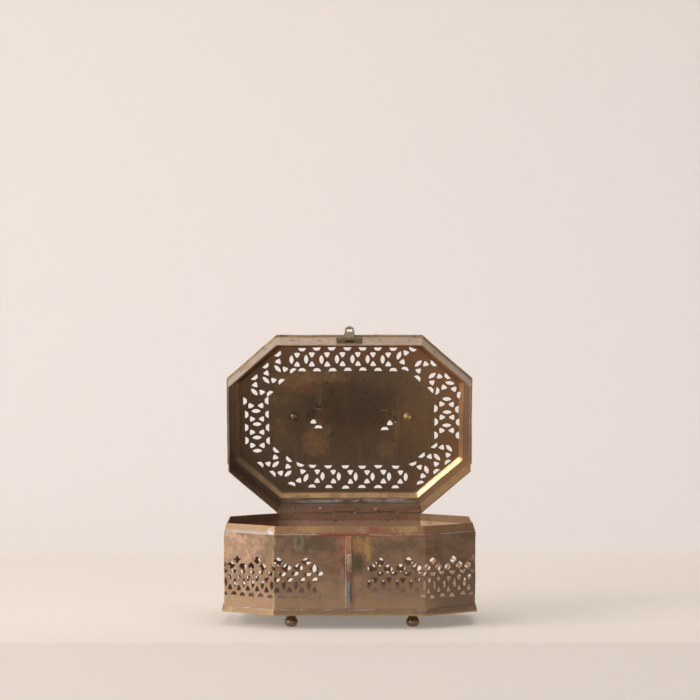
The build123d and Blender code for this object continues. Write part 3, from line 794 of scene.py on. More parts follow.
# %% Lid finishes
hinge_y, hinge_z, lid_open = 71.6, 75.098, 73.1
panel_inside = 96
olive_dark = (0.100, 0.070, 0.045, 1)
olive = (0.165, 0.115, 0.072, 1)
olive_tan = (0.330, 0.215, 0.110, 1)
lid_low_tan = (0.330, 0.255, 0.190, 1)
lid_middle_dark = (0.052, 0.040, 0.032, 1)
shade_grey = (0.225, 0.182, 0.158, 1)
orange_wear_and_sheen = (0.980, 0.570, 0.270, 1)
red_brown = (0.300, 0.140, 0.085, 1)
olive_gold = (0.420, 0.260, 0.120, 1)
riser_gold = (0.900, 0.640, 0.330, 1)
copper_wear_and_sheen = (0.620, 0.330, 0.170, 1)
skirt_gold = (0.560, 0.400, 0.220, 1)
skirt_grey = (0.560, 0.500, 0.420, 1)
blue_white = (0.720, 0.760, 0.800, 1)
pale_gold = (0.780, 0.620, 0.390, 1)


def on_open_lid(x, y, z):
    """Where a place on the shut lid is, in millimetres, once the lid is open."""
    c, s = cos(radians(lid_open)), sin(radians(lid_open))
    dy, dz = y - hinge_y, z - hinge_z
    return x, hinge_y + dy * c + dz * s, hinge_z - dy * s + dz * c


def lid_axes(place):
    """Places as on the shut lid, in millimetres: x, y and how far in from the outline."""
    x, y, z = axes(place)
    c, s = cos(radians(lid_open)), sin(radians(lid_open))
    y = (y - hinge_y) * c - (z - hinge_z) * s + hinge_y
    across, deep = x.math("ABSOLUTE", x), y.math("ABSOLUTE", y)
    slant = hypot(corner_width, corner_depth)
    corner = (wall_width / 2 - corner_width) * corner_depth + wall_depth / 2 * corner_width
    cut = corner / slant - across * (corner_depth / slant) - deep * (corner_width / slant)
    inset = x.math("MINIMUM", wall_width / 2 - across, wall_depth / 2 - deep)
    return x, y, inset.math("MINIMUM", inset, cut)


def lid_inside_look(place):
    x, y, inset = lid_axes(place)
    colour, dull, height = brass_ground(place, olive_dark, olive, olive_tan, 0.30, 61)
    ragged = (cloud(place, 24, 5, 0.6, 0.8, 64) - 0.5) * 50
    near_edge = below(inset + ragged * 0.35, 12, 30)
    middle_of_lid = spot(place, on_open_lid(-2, -12, panel_inside), (44, 24, 24), 0.7, 60)
    flecks = step(cloud(place, 6, 5, 0.7, 1.2, 65), 0.50, 0.62)
    colour = lay_on(
        colour,
        (red_brown, near_edge * step(x + ragged, 10, 70) * 0.75),
        (red_brown, below(y + ragged * 0.5, -58, -40) * 0.45),
        # Painted light: the lower part is painted lighter, where it reflects the dark inside of the
        # box.
        (lid_low_tan, step(y + ragged, 0, 55) * 0.50),
        (olive_tan, step(x + ragged, 25, 75) * 0.48),
        (lid_middle_dark, middle_of_lid * 0.45),
    )
    for (across, back), (wide, deep), over, share in (
        ((-46, -33), (20, 10), olive_gold, 0.70), ((-38, -29), (18, 9), copper_red, 0.45),
        ((-20, -36), (20, 6), orange_wear_and_sheen, 0.25), ((-26, 14), (14, 15), olive_gold, 0.75),
        ((-52, 12), (11, 15), olive_gold, 0.55), ((-26, 22), (11, 12), orange_wear_and_sheen, 0.28),
        ((29, 25), (9, 7), orange_wear_and_sheen, 0.30), ((46, 8), (22, 22), olive_gold, 0.30),
        ((68, -32), (12, 14), copper_red, 0.45), ((-22, -4), (8, 8), copper_red, 0.35),
    ):
        where = on_open_lid(across, back, panel_inside)
        spread = spot(place, where, (wide, deep + 2, deep), 0.9, wide + 66)
        colour = tint(colour, over, spread * (flecks * 0.6 + 0.4) * share)
    # The riser is rubbed gold, painted brightest at the bottom and on the right, where the window
    # catches it: partly wear, partly painted highlight.
    riser = step(inset, 5.2, 6.0) - step(inset, 8.4, 9.2)
    bottom = step(y, 30, 50)
    wear_and_sheen = step(cloud(place, (12, 12, 12), 4, 0.6, 0.5, 71), 0.32, 0.60)
    right_side = step(x, 40, 70)
    gold = tint(riser_gold, copper_wear_and_sheen, (1 - bottom) * 0.8)
    straight = bottom * below(x.math("ABSOLUTE", x), 52, 58)
    gold = tint(gold, orange_wear_and_sheen, straight * 0.75)
    gold = tint(gold, copper_wear_and_sheen, bottom * below(x, -66, -56) * 0.4)
    rubbed_and_lit = bottom * 0.75 + straight * 0.20 + (1 - bottom) * (right_side * 0.65 + 0.14)
    border = below(inset, 4.6, 5.4)
    # Painted reflection: a broken blue-white streak along the bottom border.
    painted_reflection = border * step(inset, 1.2, 2.4) * step(y, 60, 64) * below(x, 46, 60)
    broken = step(cloud(place, (16, 3, 3), 5, 0.7, 0.6, 73), 0.42, 0.58)
    # Painted highlight: the lid's top edge is painted pale gold.
    lip = below(inset, 0.0, 0.4)
    fine_lip = step(cloud(place, 5, 4, 0.6, 0.3, 74), 0.30, 0.50)
    rubbed = step(cloud(place, (5, 40, 40), 3, 0.6, 0.3, 70), 0.58, 0.72)
    # The riser's gold is partly painted highlight; the shade grey lifts the shaded left border as
    # painted light.
    colour = lay_on(
        colour,
        (gold, riser * rubbed_and_lit * (wear_and_sheen * 0.5 + 0.5)),
        (skirt_tan, border * right_side * 0.55),
        (skirt_tan, border * step(y, 55, 64) * 0.25),
        (shade_grey, border * below(x, -88, -60) * 0.8),
        (blue_white, painted_reflection * step(x, -58, -36) * broken * 0.8),
        (pale_gold, lip * below(y, -60, -10) * fine_lip * 0.85),
        (olive_gold, rubbed * 0.25),
    )
    return colour, dull - 0.04 - riser * 0.12, bump(place, height + rubbed * 0.1, 0.2)


def lid_outside_look(place):
    colour, dull, height = brass_ground(place, grey_brown, warm_brown, tan_gold, 0.7, 81)
    rose = step(cloud(place, 22, 4, 0.6, 1, 84), 0.58, 0.72)
    scratches = cloud(place, (16, 1.2, 1.2), 2, 0.5, 0.2, 85)
    colour = lay_on(
        colour,
        (copper_red, rose * 0.3),
        (straw, step(scratches, 0.64, 0.72) * 0.25),
    )
    return colour, dull - 0.05, bump(place, height + scratches * 0.15, 0.2)


def skirt_outside_look(place):
    x, y, inset = lid_axes(place)
    colour, dull, height = brass_ground(place, grey_brown, skirt_tan, skirt_grey, 0.5, 91)
    rose = step(cloud(place, 9, 5, 0.65, 1, 94), 0.58, 0.70)
    smudges = step(cloud(place, (7, 3, 3), 5, 0.7, 1, 96), 0.50, 0.62)
    # Painted highlight: pale streaks along the skirt, in solder's grey.
    highlight_streaks = step(cloud(place, (10, 2.5, 2.5), 5, 0.7, 1.2, 97), 0.54, 0.66)
    red_streak = spot(place, on_open_lid(-80, -48, 84), (18, 12, 3), 0.9, 95)
    colour = lay_on(
        colour,
        (pink, rose * 0.35),
        (grey_brown, smudges * 0.6),
        (solder, highlight_streaks * 0.6),
        (skirt_grey, below(x, -62, -50) * 0.65),
        (grey_brown, step(x, 0, 30) * below(x, 50, 62) * 0.25),
        (copper_red, red_streak * 0.5),
    )
    return colour, dull, bump(place, height, 0.25)


def skirt_inside_look(place):
    x, y, inset = lid_axes(place)
    colour, dull, height = brass_ground(place, inside_dark, inside_brown, inside_tan, 0.3, 101)
    ragged = (cloud(place, 20, 3, seed=104) - 0.5) * 50
    rose = step(cloud(place, 12, 5, 0.6, 1, 105), 0.54, 0.68)
    # Painted light: gold on the right, which faces the window, and a lighter shade grey on the
    # shaded left.
    colour = lay_on(
        colour,
        (skirt_gold, step(x + ragged, 30, 80) * 0.65),
        (skirt_tan, step(y + ragged * 0.3, 50, 64) * 0.4),
        (shade_grey, below(x + ragged, -86, -56) * 0.6),
        (copper_red, rose * 0.45),
    )
    return colour, dull, bump(place, height, 0.25)


lid_inside = close_brass("lid_inside", lid_inside_look)
lid_outside = close_brass("lid_outside", lid_outside_look)
skirt_outside = close_brass("skirt_outside", skirt_outside_look)
skirt_inside = close_brass("skirt_inside", skirt_inside_look)
print("lid finishes ready")

# %% [markdown]
# ## Small fittings
#
# The feet and rivets are solid brass, darker in their grooves and brighter where they stand
# out. The skirting's edge is bright from wear. The strip over the seam is covered with solder
# that has gone blue-green lower down and pink above, and its edges are red with flux.

# %% Finishes of the small pieces
cast_dark = (0.120, 0.080, 0.050, 1)
cast_brown = (0.320, 0.222, 0.140, 1)
cast_gold = (0.680, 0.470, 0.220, 1)
teal = (0.220, 0.275, 0.280, 1)
pale_flux = (0.640, 0.520, 0.460, 1)
hasp_olive = (0.190, 0.150, 0.090, 1)
dome_olive = (0.230, 0.170, 0.095, 1)
staple_tan = (0.420, 0.310, 0.220, 1)


def fitting_look(place):
    colour, dull, height = brass_ground(place, cast_dark, cast_brown, cast_gold, 0.4, 111, 0.4)
    return colour, dull - 0.22, bump(place, height, 0.12)


def dome_look(place):
    """The left dome is dark with handling, and the right one is rubbed bright."""
    x, y, z = axes(place)
    colour, dull, height = brass_ground(place, cast_dark, dome_olive, olive_gold, 0.35, 115, 0.4)
    rubbed = step(x, -10, 10) * step(cloud(place, 2.5, 4, 0.6, 0.5, 116), 0.34, 0.56)
    colour = tint(colour, riser_gold, rubbed * 0.75)
    return colour, dull - 0.22, bump(place, height, 0.1)


def worn_look(place):
    """Small rivet heads, which everything rubs against, stay bright."""
    return fine_look(place, 37, pink, pale_gold, 0.42, 0.58, 0.38, 0.2, 0.06)


def grime_look(place):
    return fine_look(place, 33, soot, grey_brown, 0.40, 0.70, 0.75, 0.2, 0.08)


def hinge_look(place):
    colour, dull, height = brass_ground(place, cast_dark, inside_brown, tan_gold, 0.5, 121, 0.5)
    return colour, dull - 0.05, bump(place, height, 0.15)


def hasp_look(place):
    colour, dull, height = brass_ground(place, cast_dark, hasp_olive, olive_gold, 0.35, 151, 0.4)
    return colour, dull + 0.08, bump(place, height, 0.15)


def staple_look(place):
    x, y, z = axes(place)
    colour, dull, height = brass_ground(place, grey_brown, staple_tan, pink, 0.4, 161, 0.4)
    colour = tint(colour, grey_brown, below(z, 47, 51) * 0.6)
    return colour, dull, bump(place, height, 0.15)


def skirting_look(place):
    x, y, z = axes(place)
    colour, dull, height = brass_ground(place, grey_brown, warm_brown, collar_gold, 0.6, 131)
    foot_edge = below(z + (cloud(place, 4, 3, seed=134) - 0.5) * 2.5, 10.5, 11.8)
    top_edge = step(z + (cloud(place, 2, 2, seed=135) - 0.5) * 1.2, 14.2, 14.7)
    soldered = step(cloud(place, 18, 3, 0.6, 0.5, 136), 0.50, 0.58)
    colour = lay_on(
        colour,
        (straw, foot_edge * 0.45),
        (solder, top_edge * soldered * 0.95),
    )
    return colour, dull, bump(place, height, 0.22)


def seam_look(place):
    x, y, z = axes(place)
    broad = cloud(place, 8, 4, 0.6, 0.8, 141)
    fine = cloud(place, 1.6, 4, 0.6, 0.5, 142)
    wander = x + (broad - 0.5) * 2.4
    high = step(z + (broad - 0.5) * 8, 54, 60)
    low = below(z + (broad - 0.5) * 10, 32, 38) * (step(z + (fine - 0.5) * 6, 18, 22) * 0.8 + 0.2)
    colour = tint(warm_brown, pink, step(fine, 0.46, 0.58) * 0.6)
    rim = below(x + (fine - 0.5) * 1.2, -2.9, -2.3) * (1 - high)
    red_rim = step(x + (fine - 0.5) * 1.2, 1.1, 1.6) * step(broad, 0.42, 0.52)
    colour = lay_on(
        colour,
        (plum, (1 - high) * (1 - low) * step(broad, 0.40, 0.52) * 0.6),
        (amber, high * step(wander, -1.8, -0.8) * 0.85),
        (brick, high * below(wander, -2.0, -1.2) * 0.8),
        (teal, low * step(wander, -2.6, -2.0) * 0.85),
        (soot, low * step(wander, -0.3, 0.4) * below(x, 1.2, 1.7) * 0.7),
        (pale_flux, rim * step(fine, 0.36, 0.56) * 0.65),
        (brick, red_rim * 0.7),
    )
    return colour, 0.42 + (fine - 0.5) * 0.4, bump(place, broad + fine * 0.6, 0.5)


fitting_brass = close_brass("fitting_brass", fitting_look)
dome_brass = close_brass("dome_brass", dome_look)
worn_head = close_brass("worn_head", worn_look)
grime = close_brass("grime", grime_look, 0.3)
hinge_brass = close_brass("hinge_brass", hinge_look)
skirting_brass = close_brass("skirting_brass", skirting_look)
hasp_brass = close_brass("hasp_brass", hasp_look, 0.6)
staple_brass = close_brass("staple_brass", staple_look)
soldered_brass = close_brass("soldered_brass", seam_look, 0.7)
print("fittings' finishes ready")

# %% [markdown]
# ## The body's sizes, and an eight-sided block
#
# The wall, the collar, the skirting and the lid all follow one outline: a rectangle with its
# corners cut off. A cube whose four upright edges are bevelled is such a block. The cut takes
# more off the width than off the depth, and a bevel takes the same off both, so the cube is
# first made deeper by that ratio, bevelled, and then pressed back to its depth.

# %% The eight-sided block
sheet = 0.8
foot_height, shoulder = 10.0, 70.1
slant = hypot(corner_width, corner_depth)


def octagon(inset=0.0):
    """Corners of the body's outline in millimetres, drawn in by inset, from the front right."""
    half_x, half_y = wall_width / 2 - inset, wall_depth / 2 - inset
    flat_x = wall_width / 2 - corner_width - inset * (slant - corner_width) / corner_depth
    flat_y = wall_depth / 2 - corner_depth - inset * (slant - corner_depth) / corner_width
    return [
        (flat_x, -half_y), (half_x, -flat_y), (half_x, flat_y), (flat_x, half_y),
        (-flat_x, half_y), (-half_x, flat_y), (-half_x, -flat_y), (-flat_x, -half_y),
    ]


def octagon_block(name, inset, low, high):
    """A solid block with the body's outline, drawn in by inset, between two heights."""
    corners = octagon(inset)
    half_x, half_y = corners[1][0], -corners[0][1]
    cut = half_x - corners[0][0]
    ratio = corner_width / corner_depth
    clear_bench()
    bpy.ops.mesh.primitive_cube_add(size=1, location=(0, 0, mm * (low + high) / 2))
    block = bpy.context.object
    block.scale = (2 * half_x * mm, 2 * half_y * ratio * mm, (high - low) * mm)
    fix_place(block, name)
    with editing(block):
        pick(block, "edges", lambda e: abs(along(e).z) > 0.9)
        bevel(cut, 1)
        select_all()
        resize(1, 1 / ratio, 1)
    return block


def score(piece, axis, places):
    """Cuts lines across a piece at places in millimetres, so that it can bend there."""
    normal = tuple(1.0 if i == axis else 0.0 for i in range(3))
    with editing(piece):
        for place in places:
            select_all()
            bpy.ops.mesh.bisect(plane_co=tuple(n * place * mm for n in normal), plane_no=normal)


def steps(first, last, pitch):
    """Places between two ends, evenly spaced at about the pitch, without the ends."""
    count = max(1, round((last - first) / pitch))
    return [first + (last - first) * i / count for i in range(1, count)]


def score_both_ways(piece, pitch):
    """Scores a piece over the body's whole width and depth."""
    score(piece, 0, steps(-wall_width / 2, wall_width / 2, pitch))
    score(piece, 1, steps(-wall_depth / 2, wall_depth / 2, pitch))


def octagon_band(name, inset, low, high, pitch=5.0):
    """The upright sides of such a block as a sheet with no thickness, scored into small fields."""
    band = octagon_block(name, inset, low, high)
    with editing(band):
        delete_faces(band, lambda f: abs(f.normal.z) > 0.5)
    score(band, 2, steps(low, high, pitch))
    score_both_ways(band, pitch)
    return band


print("outline:", [(round(x, 2), round(y, 2)) for x, y in octagon()][:2], "...")

# %% [markdown]
# ## Dents
#
# Thin sheet never stays flat. A soft pattern of dents, at most a few tenths of a millimetre
# deep, moves every sheet of the box. The pattern belongs to the space and not to the piece, so
# two sheets that touch are dented together and stay in touch. Near the hinge, the staple, the
# hasp and the handle, which stay exact, the dents fade out.

# %% Dents that neighbours share


def lumpy_pattern(name, size):
    """A soft pattern in space, whose lumps are about the size across, in millimetres."""
    pattern = bpy.data.textures.new(name, "CLOUDS")
    pattern.cloud_type = "COLOR"
    pattern.noise_scale = size * mm
    pattern.noise_depth = 2
    return pattern


def displace(piece, pattern, depth, freedom):
    """Moves each corner of a piece by the pattern, by up to the depth in millimetres times the
    freedom, from 0 to 1, that the corner has."""
    group = piece.vertex_groups.new(name="free")
    for vertex in piece.data.vertices:
        group.add([vertex.index], freedom(vertex.co / mm), "REPLACE")
    modifier = piece.modifiers.new("lumps", "DISPLACE")
    modifier.texture = pattern
    modifier.texture_coords = "LOCAL"
    modifier.direction = "RGB_TO_XYZ"
    modifier.strength = 2 * depth * mm
    modifier.mid_level = 0.5
    modifier.vertex_group = "free"
    return apply_all(piece)


dent_pattern = lumpy_pattern("dents", 34)
kept_true = (
    ((12.5, 71.0, 74.0), (50.0, 6.0, 18.0)),
    ((0.0, -71.0, 60.0), (14.0, 6.0, 60.0)),
    ((-43.6, -2.6, 96.0), (14.0, 14.0, 30.0)),
    ((45.6, -2.6, 96.0), (14.0, 14.0, 30.0)),
)


def freedom(point):
    """How far the sheet may be dented at a point in millimetres: 0 beside the fittings."""
    free = 1.0
    for centre, half in kept_true:
        reach = max(abs(p - c) / h for p, c, h in zip(point, centre, half))
        free = min(free, max(0.0, min(1.0, (reach - 0.75) / 0.6)))
    return free


def dent(piece, depth=0.45):
    """Moves a sheet by the shared pattern, by up to the depth in millimetres."""
    return displace(piece, dent_pattern, depth, freedom)


print("dents up to 0.45 mm, each about", dent_pattern.noise_scale / mm, "mm across")

# %% [markdown]
# ## The two piercing tools
#
# The holes were struck with two punches. One makes five holes at a blow: a lens, two darts that
# point at each other behind it, and two half moons outside them. The other makes three
# four-lobed holes, one above two. Each tool is modelled once as a set of short solid cutters,
# with few faces because it is struck hundreds of times, and then copied to each place.

# %% Cutters for the holes
reach = 3.6


def cylinder(radius, sides, x=0.0, y=0.0, turn=0.0, reach=reach):
    """A short upright cylinder, in millimetres, for cutting through the sheet."""
    clear_bench()
    bpy.ops.mesh.primitive_cylinder_add(
        vertices=sides, radius=radius * mm, depth=reach * mm,
        location=(x * mm, y * mm, 0), rotation=(0, 0, turn),
    )
    return fix_place(bpy.context.object, "cutter")


def combine(piece, other, operation):
    """Unites, cuts or intersects a piece with another, which is used up."""
    modifier = piece.modifiers.new("combine", "BOOLEAN")
    modifier.operation = operation
    modifier.solver = "EXACT"
    modifier.material_mode = "TRANSFER"
    modifier.object = other
    apply_all(piece)
    bpy.data.objects.remove(other)
    return piece


def join(parts, name):
    """Several meshes in one object."""
    clear_bench()
    for part in parts:
        part.select_set(True)
    bpy.context.view_layer.objects.active = parts[0]
    bpy.ops.object.join()
    parts[0].name = name
    return parts[0]


def lens_cutter(length=7.5, width=3.3):
    """Where two discs overlap, there is a lens."""
    radius = (length**2 + width**2) / (4 * width)
    off = radius - width / 2
    return combine(cylinder(radius, 40, off), cylinder(radius, 40, -off), "INTERSECT")


def dart_cutter(x, y, length=4.3, width=3.9, point=1):
    """A three-sided prism with rounded corners."""
    dart = cylinder(1.0, 3)
    with editing(dart):
        resize(length / sqrt(3), width / 1.5, 1)
        pick(dart, "edges", lambda e: abs(along(e).z) > 0.9)
        bevel(1.4, 4)
        select_all()
        resize(1.38, 1.33 * point, 1)
        bpy.ops.transform.translate(value=(x * mm, y * mm, 0))
    return dart


def moon_cutter(x, y, length=6.5, width=2.5, side=1):
    """Half a six-sided bar, its flat side outwards and its corners rounded: a loaf shape."""
    moon = cylinder(length / 2, 6, turn=pi / 6)
    with editing(moon):
        bpy.ops.mesh.bisect(
            plane_co=(0, 0.3 * mm, 0), plane_no=(0, 1, 0), clear_outer=True, use_fill=True
        )
        pick(moon, "edges", lambda e: abs(along(e).z) > 0.9 and middle(e).y > 0.2)
        bevel(0.35, 2)
        pick(moon, "edges", lambda e: abs(along(e).z) > 0.9 and middle(e).y < -1)
        bevel(0.6, 3)
        select_all()
        resize(1, side * width / 2.9, 1)
        bpy.ops.transform.translate(value=(x * mm, (y + side * width / 2) * mm, 0))
    return moon


def lobed_cutter(x, y, width=7.3, height=6.2, lobe=1.7):
    """Four overlapping discs round a square: a four-lobed hole."""
    off_x, off_y = width / 2 - lobe, height / 2 - lobe
    hole = cylinder(lobe * 1.15, 8, 0, 0, pi / 8)
    for dx, dy in ((off_x, 0), (-off_x, 0), (0, off_y), (0, -off_y)):
        hole = combine(hole, cylinder(lobe, 12, dx, dy), "UNION")
    with editing(hole):
        bpy.ops.transform.translate(value=(x * mm, y * mm, 0))
    return hole


crescent_tool = join(
    [
        lens_cutter(),
        dart_cutter(4.3, 4.0, point=-1),
        dart_cutter(4.3, -4.0, point=1),
        moon_cutter(8.2, 8.1, side=1),
        moon_cutter(8.2, -8.1, side=-1),
    ],
    "crescent_tool",
)
trefoil_tool = join(
    [lobed_cutter(0, 0), lobed_cutter(-6.0, -4.9), lobed_cutter(6.0, -4.9)], "trefoil_tool"
)
for tool in (crescent_tool, trefoil_tool):
    face_outwards(tool)
    print(tool.name, len(tool.data.polygons), "faces")

# %% [markdown]
# ## Striking the holes
#
# A strike is a copy of a tool, laid on the sheet with its own small slip and turn, because the
# work was done by hand. All the strikes of one pass are joined and cut at once. Strikes that
# might touch go into different passes.

# %% Strikes
import random

chance = random.Random(11)


def strike(tool, place):
    """A copy of a tool at a place, a little out of true."""
    slip = Matrix.Translation(Vector((chance.gauss(0, 0.12), chance.gauss(0, 0.10), 0)) * mm)
    turn = Matrix.Rotation(radians(chance.gauss(0, 1.3)), 4, "Z")
    size = Matrix.Diagonal((chance.uniform(0.97, 1.03), chance.uniform(0.97, 1.03), 1, 1))
    copy = add(tool.name, tool.data.copy())
    copy.data.transform(place @ slip @ turn @ size)
    return copy


def pierce(piece, strikes, cut=cut_edge):
    """Cuts the strikes of one pass out of a sheet, and gives the cut its finish."""
    cutters = join(strikes, "strikes")
    cutters.data.materials.append(cut)
    return combine(piece, cutters, "DIFFERENCE")


def flats():
    """Each flat of the wall: its placing matrix, its length and its start from the seam."""
    corners = octagon()
    start = -corners[0][0]
    for first, second in zip(corners[-1:] + corners[:-1], corners):
        first, second = Vector((*first, 0)), Vector((*second, 0))
        length = (second - first).length
        right = (second - first) / length
        outward = Vector((right.y, -right.x, 0))
        turn = Matrix((right, (0, 0, 1), outward)).transposed().to_4x4()
        yield Matrix.Translation((first + second) / 2 * mm) @ turn, length, start
        start += length


def places_round_the_wall(right_first, right_pitch, left_first, left_pitch):
    """Places along the wall, to the right and to the left of the seam, up to the back."""
    around = sum(length for place, length, start in flats())
    right_count = floor((around / 2 - right_first) / right_pitch)
    left_count = floor((around / 2 - left_first) / left_pitch)
    to_right = [right_first + i * right_pitch for i in range(right_count)]
    to_left = [around - left_first - i * left_pitch for i in range(left_count)]
    return to_right + to_left + [place - around for place in to_left]


reach_before, reach_past = 11.0, 3.0


def strikes_on_wall(tool, height, places, odd):
    """The strikes of one tool on every second flat, and on the bends beside it."""
    made = []
    for number, (flat, length, start) in enumerate(flats()):
        if number % 2 == odd:
            for s in places:
                if -reach_before < s - start < length + reach_past:
                    at = Vector((s - start - length / 2, height, 0)) * mm
                    made.append(strike(tool, flat @ Matrix.Translation(at)))
    return made


crescent_places = places_round_the_wall(14.9, 10.35, 30.2, 9.55)
trefoil_places = places_round_the_wall(23.1, 20.9, 32.2, 20.9)
print(len(crescent_places), "crescent and", len(trefoil_places), "trefoil places round the wall")

# %% [markdown]
# ## The wall
#
# One long strip of sheet was pierced, bent at the eight corners and closed with a seam at the
# front. Here the bent strip comes first, as a band with no thickness. It gets its thickness
# inwards, is pierced in four passes and then dented.

# %% Body wall


def coat(piece, *materials):
    """Gives a new piece its materials, in the order of its slots."""
    for material in materials:
        piece.data.materials.append(material)


def hand_over(piece, body, node):
    """The piece rides on its body, and stands for one node of the frame."""
    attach(piece, body)
    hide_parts(node)
    spots = [vertex.co for vertex in piece.data.vertices]
    low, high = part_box(node)
    off = [min(v[i] for v in spots) - low[i] for i in range(3)]
    off += [max(v[i] for v in spots) - high[i] for i in range(3)]
    off = [round(d / mm, 2) for d in off]
    print(piece.name, len(piece.data.polygons), "faces, box off by", off)


crescent_height, trefoil_height = 32.7, 50.4
body_wall = octagon_band("pierced_wall", 0.0, foot_height, shoulder)
coat(body_wall, wall_brass, inside_brass, cut_edge)
thicken(body_wall, sheet, 1, 2)
for odd in (0, 1):
    pierce(body_wall, strikes_on_wall(crescent_tool, crescent_height, crescent_places, odd))
    pierce(body_wall, strikes_on_wall(trefoil_tool, trefoil_height, trefoil_places, odd))
dent(body_wall)
shade(body_wall, 30)
hand_over(body_wall, "box", "body_wall")

# %% [markdown]
# ## The collar
#
# The collar is a strip that sits on the wall's edge, leans in above it, and has a lap that
# reaches down inside. Insetting the top face of a thin block, and lifting it at the same time,
# makes the leaning part. Insetting the bottom face and pushing it down makes the lap.

# %% Collar
collar_height, collar_lean, collar_lap = 6.7, 2.15, 4.5
edge = 0.05
collar = octagon_block("leaning_collar", 0.0, shoulder, shoulder + edge)
with editing(collar):
    pick(collar, "faces", lambda f: f.normal.z > 0.5)
    bpy.ops.mesh.inset(thickness=collar_lean * mm, depth=(collar_height - edge) * mm)
    bpy.ops.mesh.delete(type="FACE")
    pick(collar, "faces", lambda f: f.normal.z < -0.5)
    bpy.ops.mesh.inset(thickness=sheet * mm, depth=0)
    extrude(0, 0, -collar_lap)
    bpy.ops.mesh.delete(type="FACE")
score_both_ways(collar, 5)
score(collar, 2, steps(shoulder + edge, shoulder + collar_height, 2.3))
coat(collar, collar_brass, inside_brass, cut_edge)
thicken(collar, sheet, 1, 2)
dent(collar)
soften(collar, 0.12, 1, 40)
shade(collar, 30)
hand_over(collar, "box", "rim_collar")

# %% [markdown]
# ## The skirting
#
# A narrow strip goes round the foot of the wall and flares out at the bottom, where its edge is
# rolled. It is made as the collar was, from a thin block whose top face is inset and lifted.

# %% Skirting
skirting_height, skirting_thickness, skirting_flare, rolled = 4.8, 0.8, 0.9, 0.7
skirting = octagon_block(
    "flared_skirting", -skirting_thickness - skirting_flare, foot_height, foot_height + rolled
)
with editing(skirting):
    pick(skirting, "faces", lambda f: f.normal.z > 0.5)
    bpy.ops.mesh.inset(thickness=skirting_flare * mm, depth=(skirting_height - rolled) * mm)
    bpy.ops.mesh.delete(type="FACE")
    delete_faces(skirting, lambda f: f.normal.z < -0.5)
score_both_ways(skirting, 4)
coat(skirting, skirting_brass, inside_brass, cut_edge)
thicken(skirting, skirting_thickness, 1, 0)
dent(skirting, 0.35)
soften(skirting, 0.22, 2, 20)
shade(skirting, 40)
hand_over(skirting, "box", "skirting")

# %% [markdown]
# ## Round pieces
#
# Feet and rivets are turned on a lathe. A ring of corners is extruded upwards again and again,
# and each new ring is scaled to the radius that the turner gave it there.

# %% Feet


def turned_piece(name, profile, sides=32):
    """A round piece along Z from rings of (radius, height), in millimetres, bottom first."""
    clear_bench()
    radius, height = profile[0]
    bpy.ops.mesh.primitive_circle_add(
        vertices=sides, radius=radius * mm, fill_type="NGON", location=(0, 0, height * mm)
    )
    piece = fix_place(bpy.context.object, name)
    with editing(piece):
        for wide, high in profile[1:]:
            extrude(0, 0, high - height)
            resize(wide / radius, wide / radius, 1, (0, 0, high * mm))
            radius, height = wide, high
    return shade(face_outwards(piece), 50)


def copy_to(piece, name, turn=None, place=(0, 0, 0)):
    """A copy of a piece with its own mesh, turned and then moved, in millimetres."""
    copy = add(name, piece.data.copy())
    copy.data.transform(Matrix.Translation(Vector(place) * mm) @ (turn or Matrix.Identity(4)))
    return copy


foot = turned_piece(
    "foot",
    [
        (1.6, 0.0), (2.7, 0.25), (3.8, 0.95), (4.6, 1.95), (5.05, 3.05), (5.12, 3.9),
        (4.85, 5.0), (4.2, 6.1), (3.5, 6.85), (3.05, 7.15), (2.95, 7.35), (3.45, 7.6),
        (3.95, 7.85), (4.05, 8.15), (3.85, 8.45), (3.4, 8.6), (3.55, 9.0), (3.75, 9.6),
        (3.75, foot_height),
    ],
)
coat(foot, fitting_brass)
foot_x, foot_y, foot_shift = 45.7, 52.0, 1.8
for row, y in (("front", -foot_y), ("back", foot_y)):
    for side, x in (("left", foot_shift - foot_x), ("right", foot_shift + foot_x)):
        ball = copy_to(foot, f"ball_foot_{row}_{side}", place=(x, y, 0))
        hand_over(ball, "box", f"foot_{row}_{side}")
bpy.data.objects.remove(foot)

# %% [markdown]
# ## The strip over the seam
#
# The ends of the wall meet in the middle of the front, under a strip of brass drowned in
# solder. Its edges are uneven. A thin plate is scored finely, and a small, sharp pattern of
# bumps moves it, less so above, where the hasp's tongue comes down on it.

# %% Seam strip
seam_offset, seam_width, seam_thickness = -0.75, 5.2, 0.6
seam_low, seam_high = foot_height + skirting_height, shoulder
tongue_reach = 25.0
clear_bench()
bpy.ops.mesh.primitive_cube_add(
    size=1,
    location=(
        seam_offset * mm, (-wall_depth / 2 - seam_thickness / 2) * mm,
        (seam_low + seam_high) / 2 * mm,
    ),
)
seam_strip = bpy.context.object
seam_strip.scale = ((seam_width - 0.5) * mm, seam_thickness * mm, (seam_high - seam_low - 0.3) * mm)
fix_place(seam_strip, "soldered_seam")
score(seam_strip, 2, steps(seam_low, seam_high, 0.9))
score(seam_strip, 0, steps(seam_offset - seam_width / 2, seam_offset + seam_width / 2, 0.9))


def solder_freedom(point):
    """Solder stands up from the wall, but less so from where the tongue's end comes down."""
    off_wall = (-wall_depth / 2 - point.y) / seam_thickness
    under_tongue = max(0.0, min(1.0, (point.z - tongue_reach) / 6))
    return max(0.15, min(1.0, off_wall)) * (1 - 0.65 * under_tongue)


displace(seam_strip, lumpy_pattern("solder", 3.5), 0.65, solder_freedom)
soften(seam_strip, 0.2, 2, 40)
shade(seam_strip, 60)
coat(seam_strip, soldered_brass)
hand_over(seam_strip, "box", "front_seam_strip")

# %% [markdown]
# ## Bent straps
#
# The staple and the handle are straps of brass bent on edge. A short plane is one straight
# stretch. Its far edge is extruded through the other corners, the bends are bevelled round, and
# then the strap gets its thickness and its edges are eased.

# %% Straps


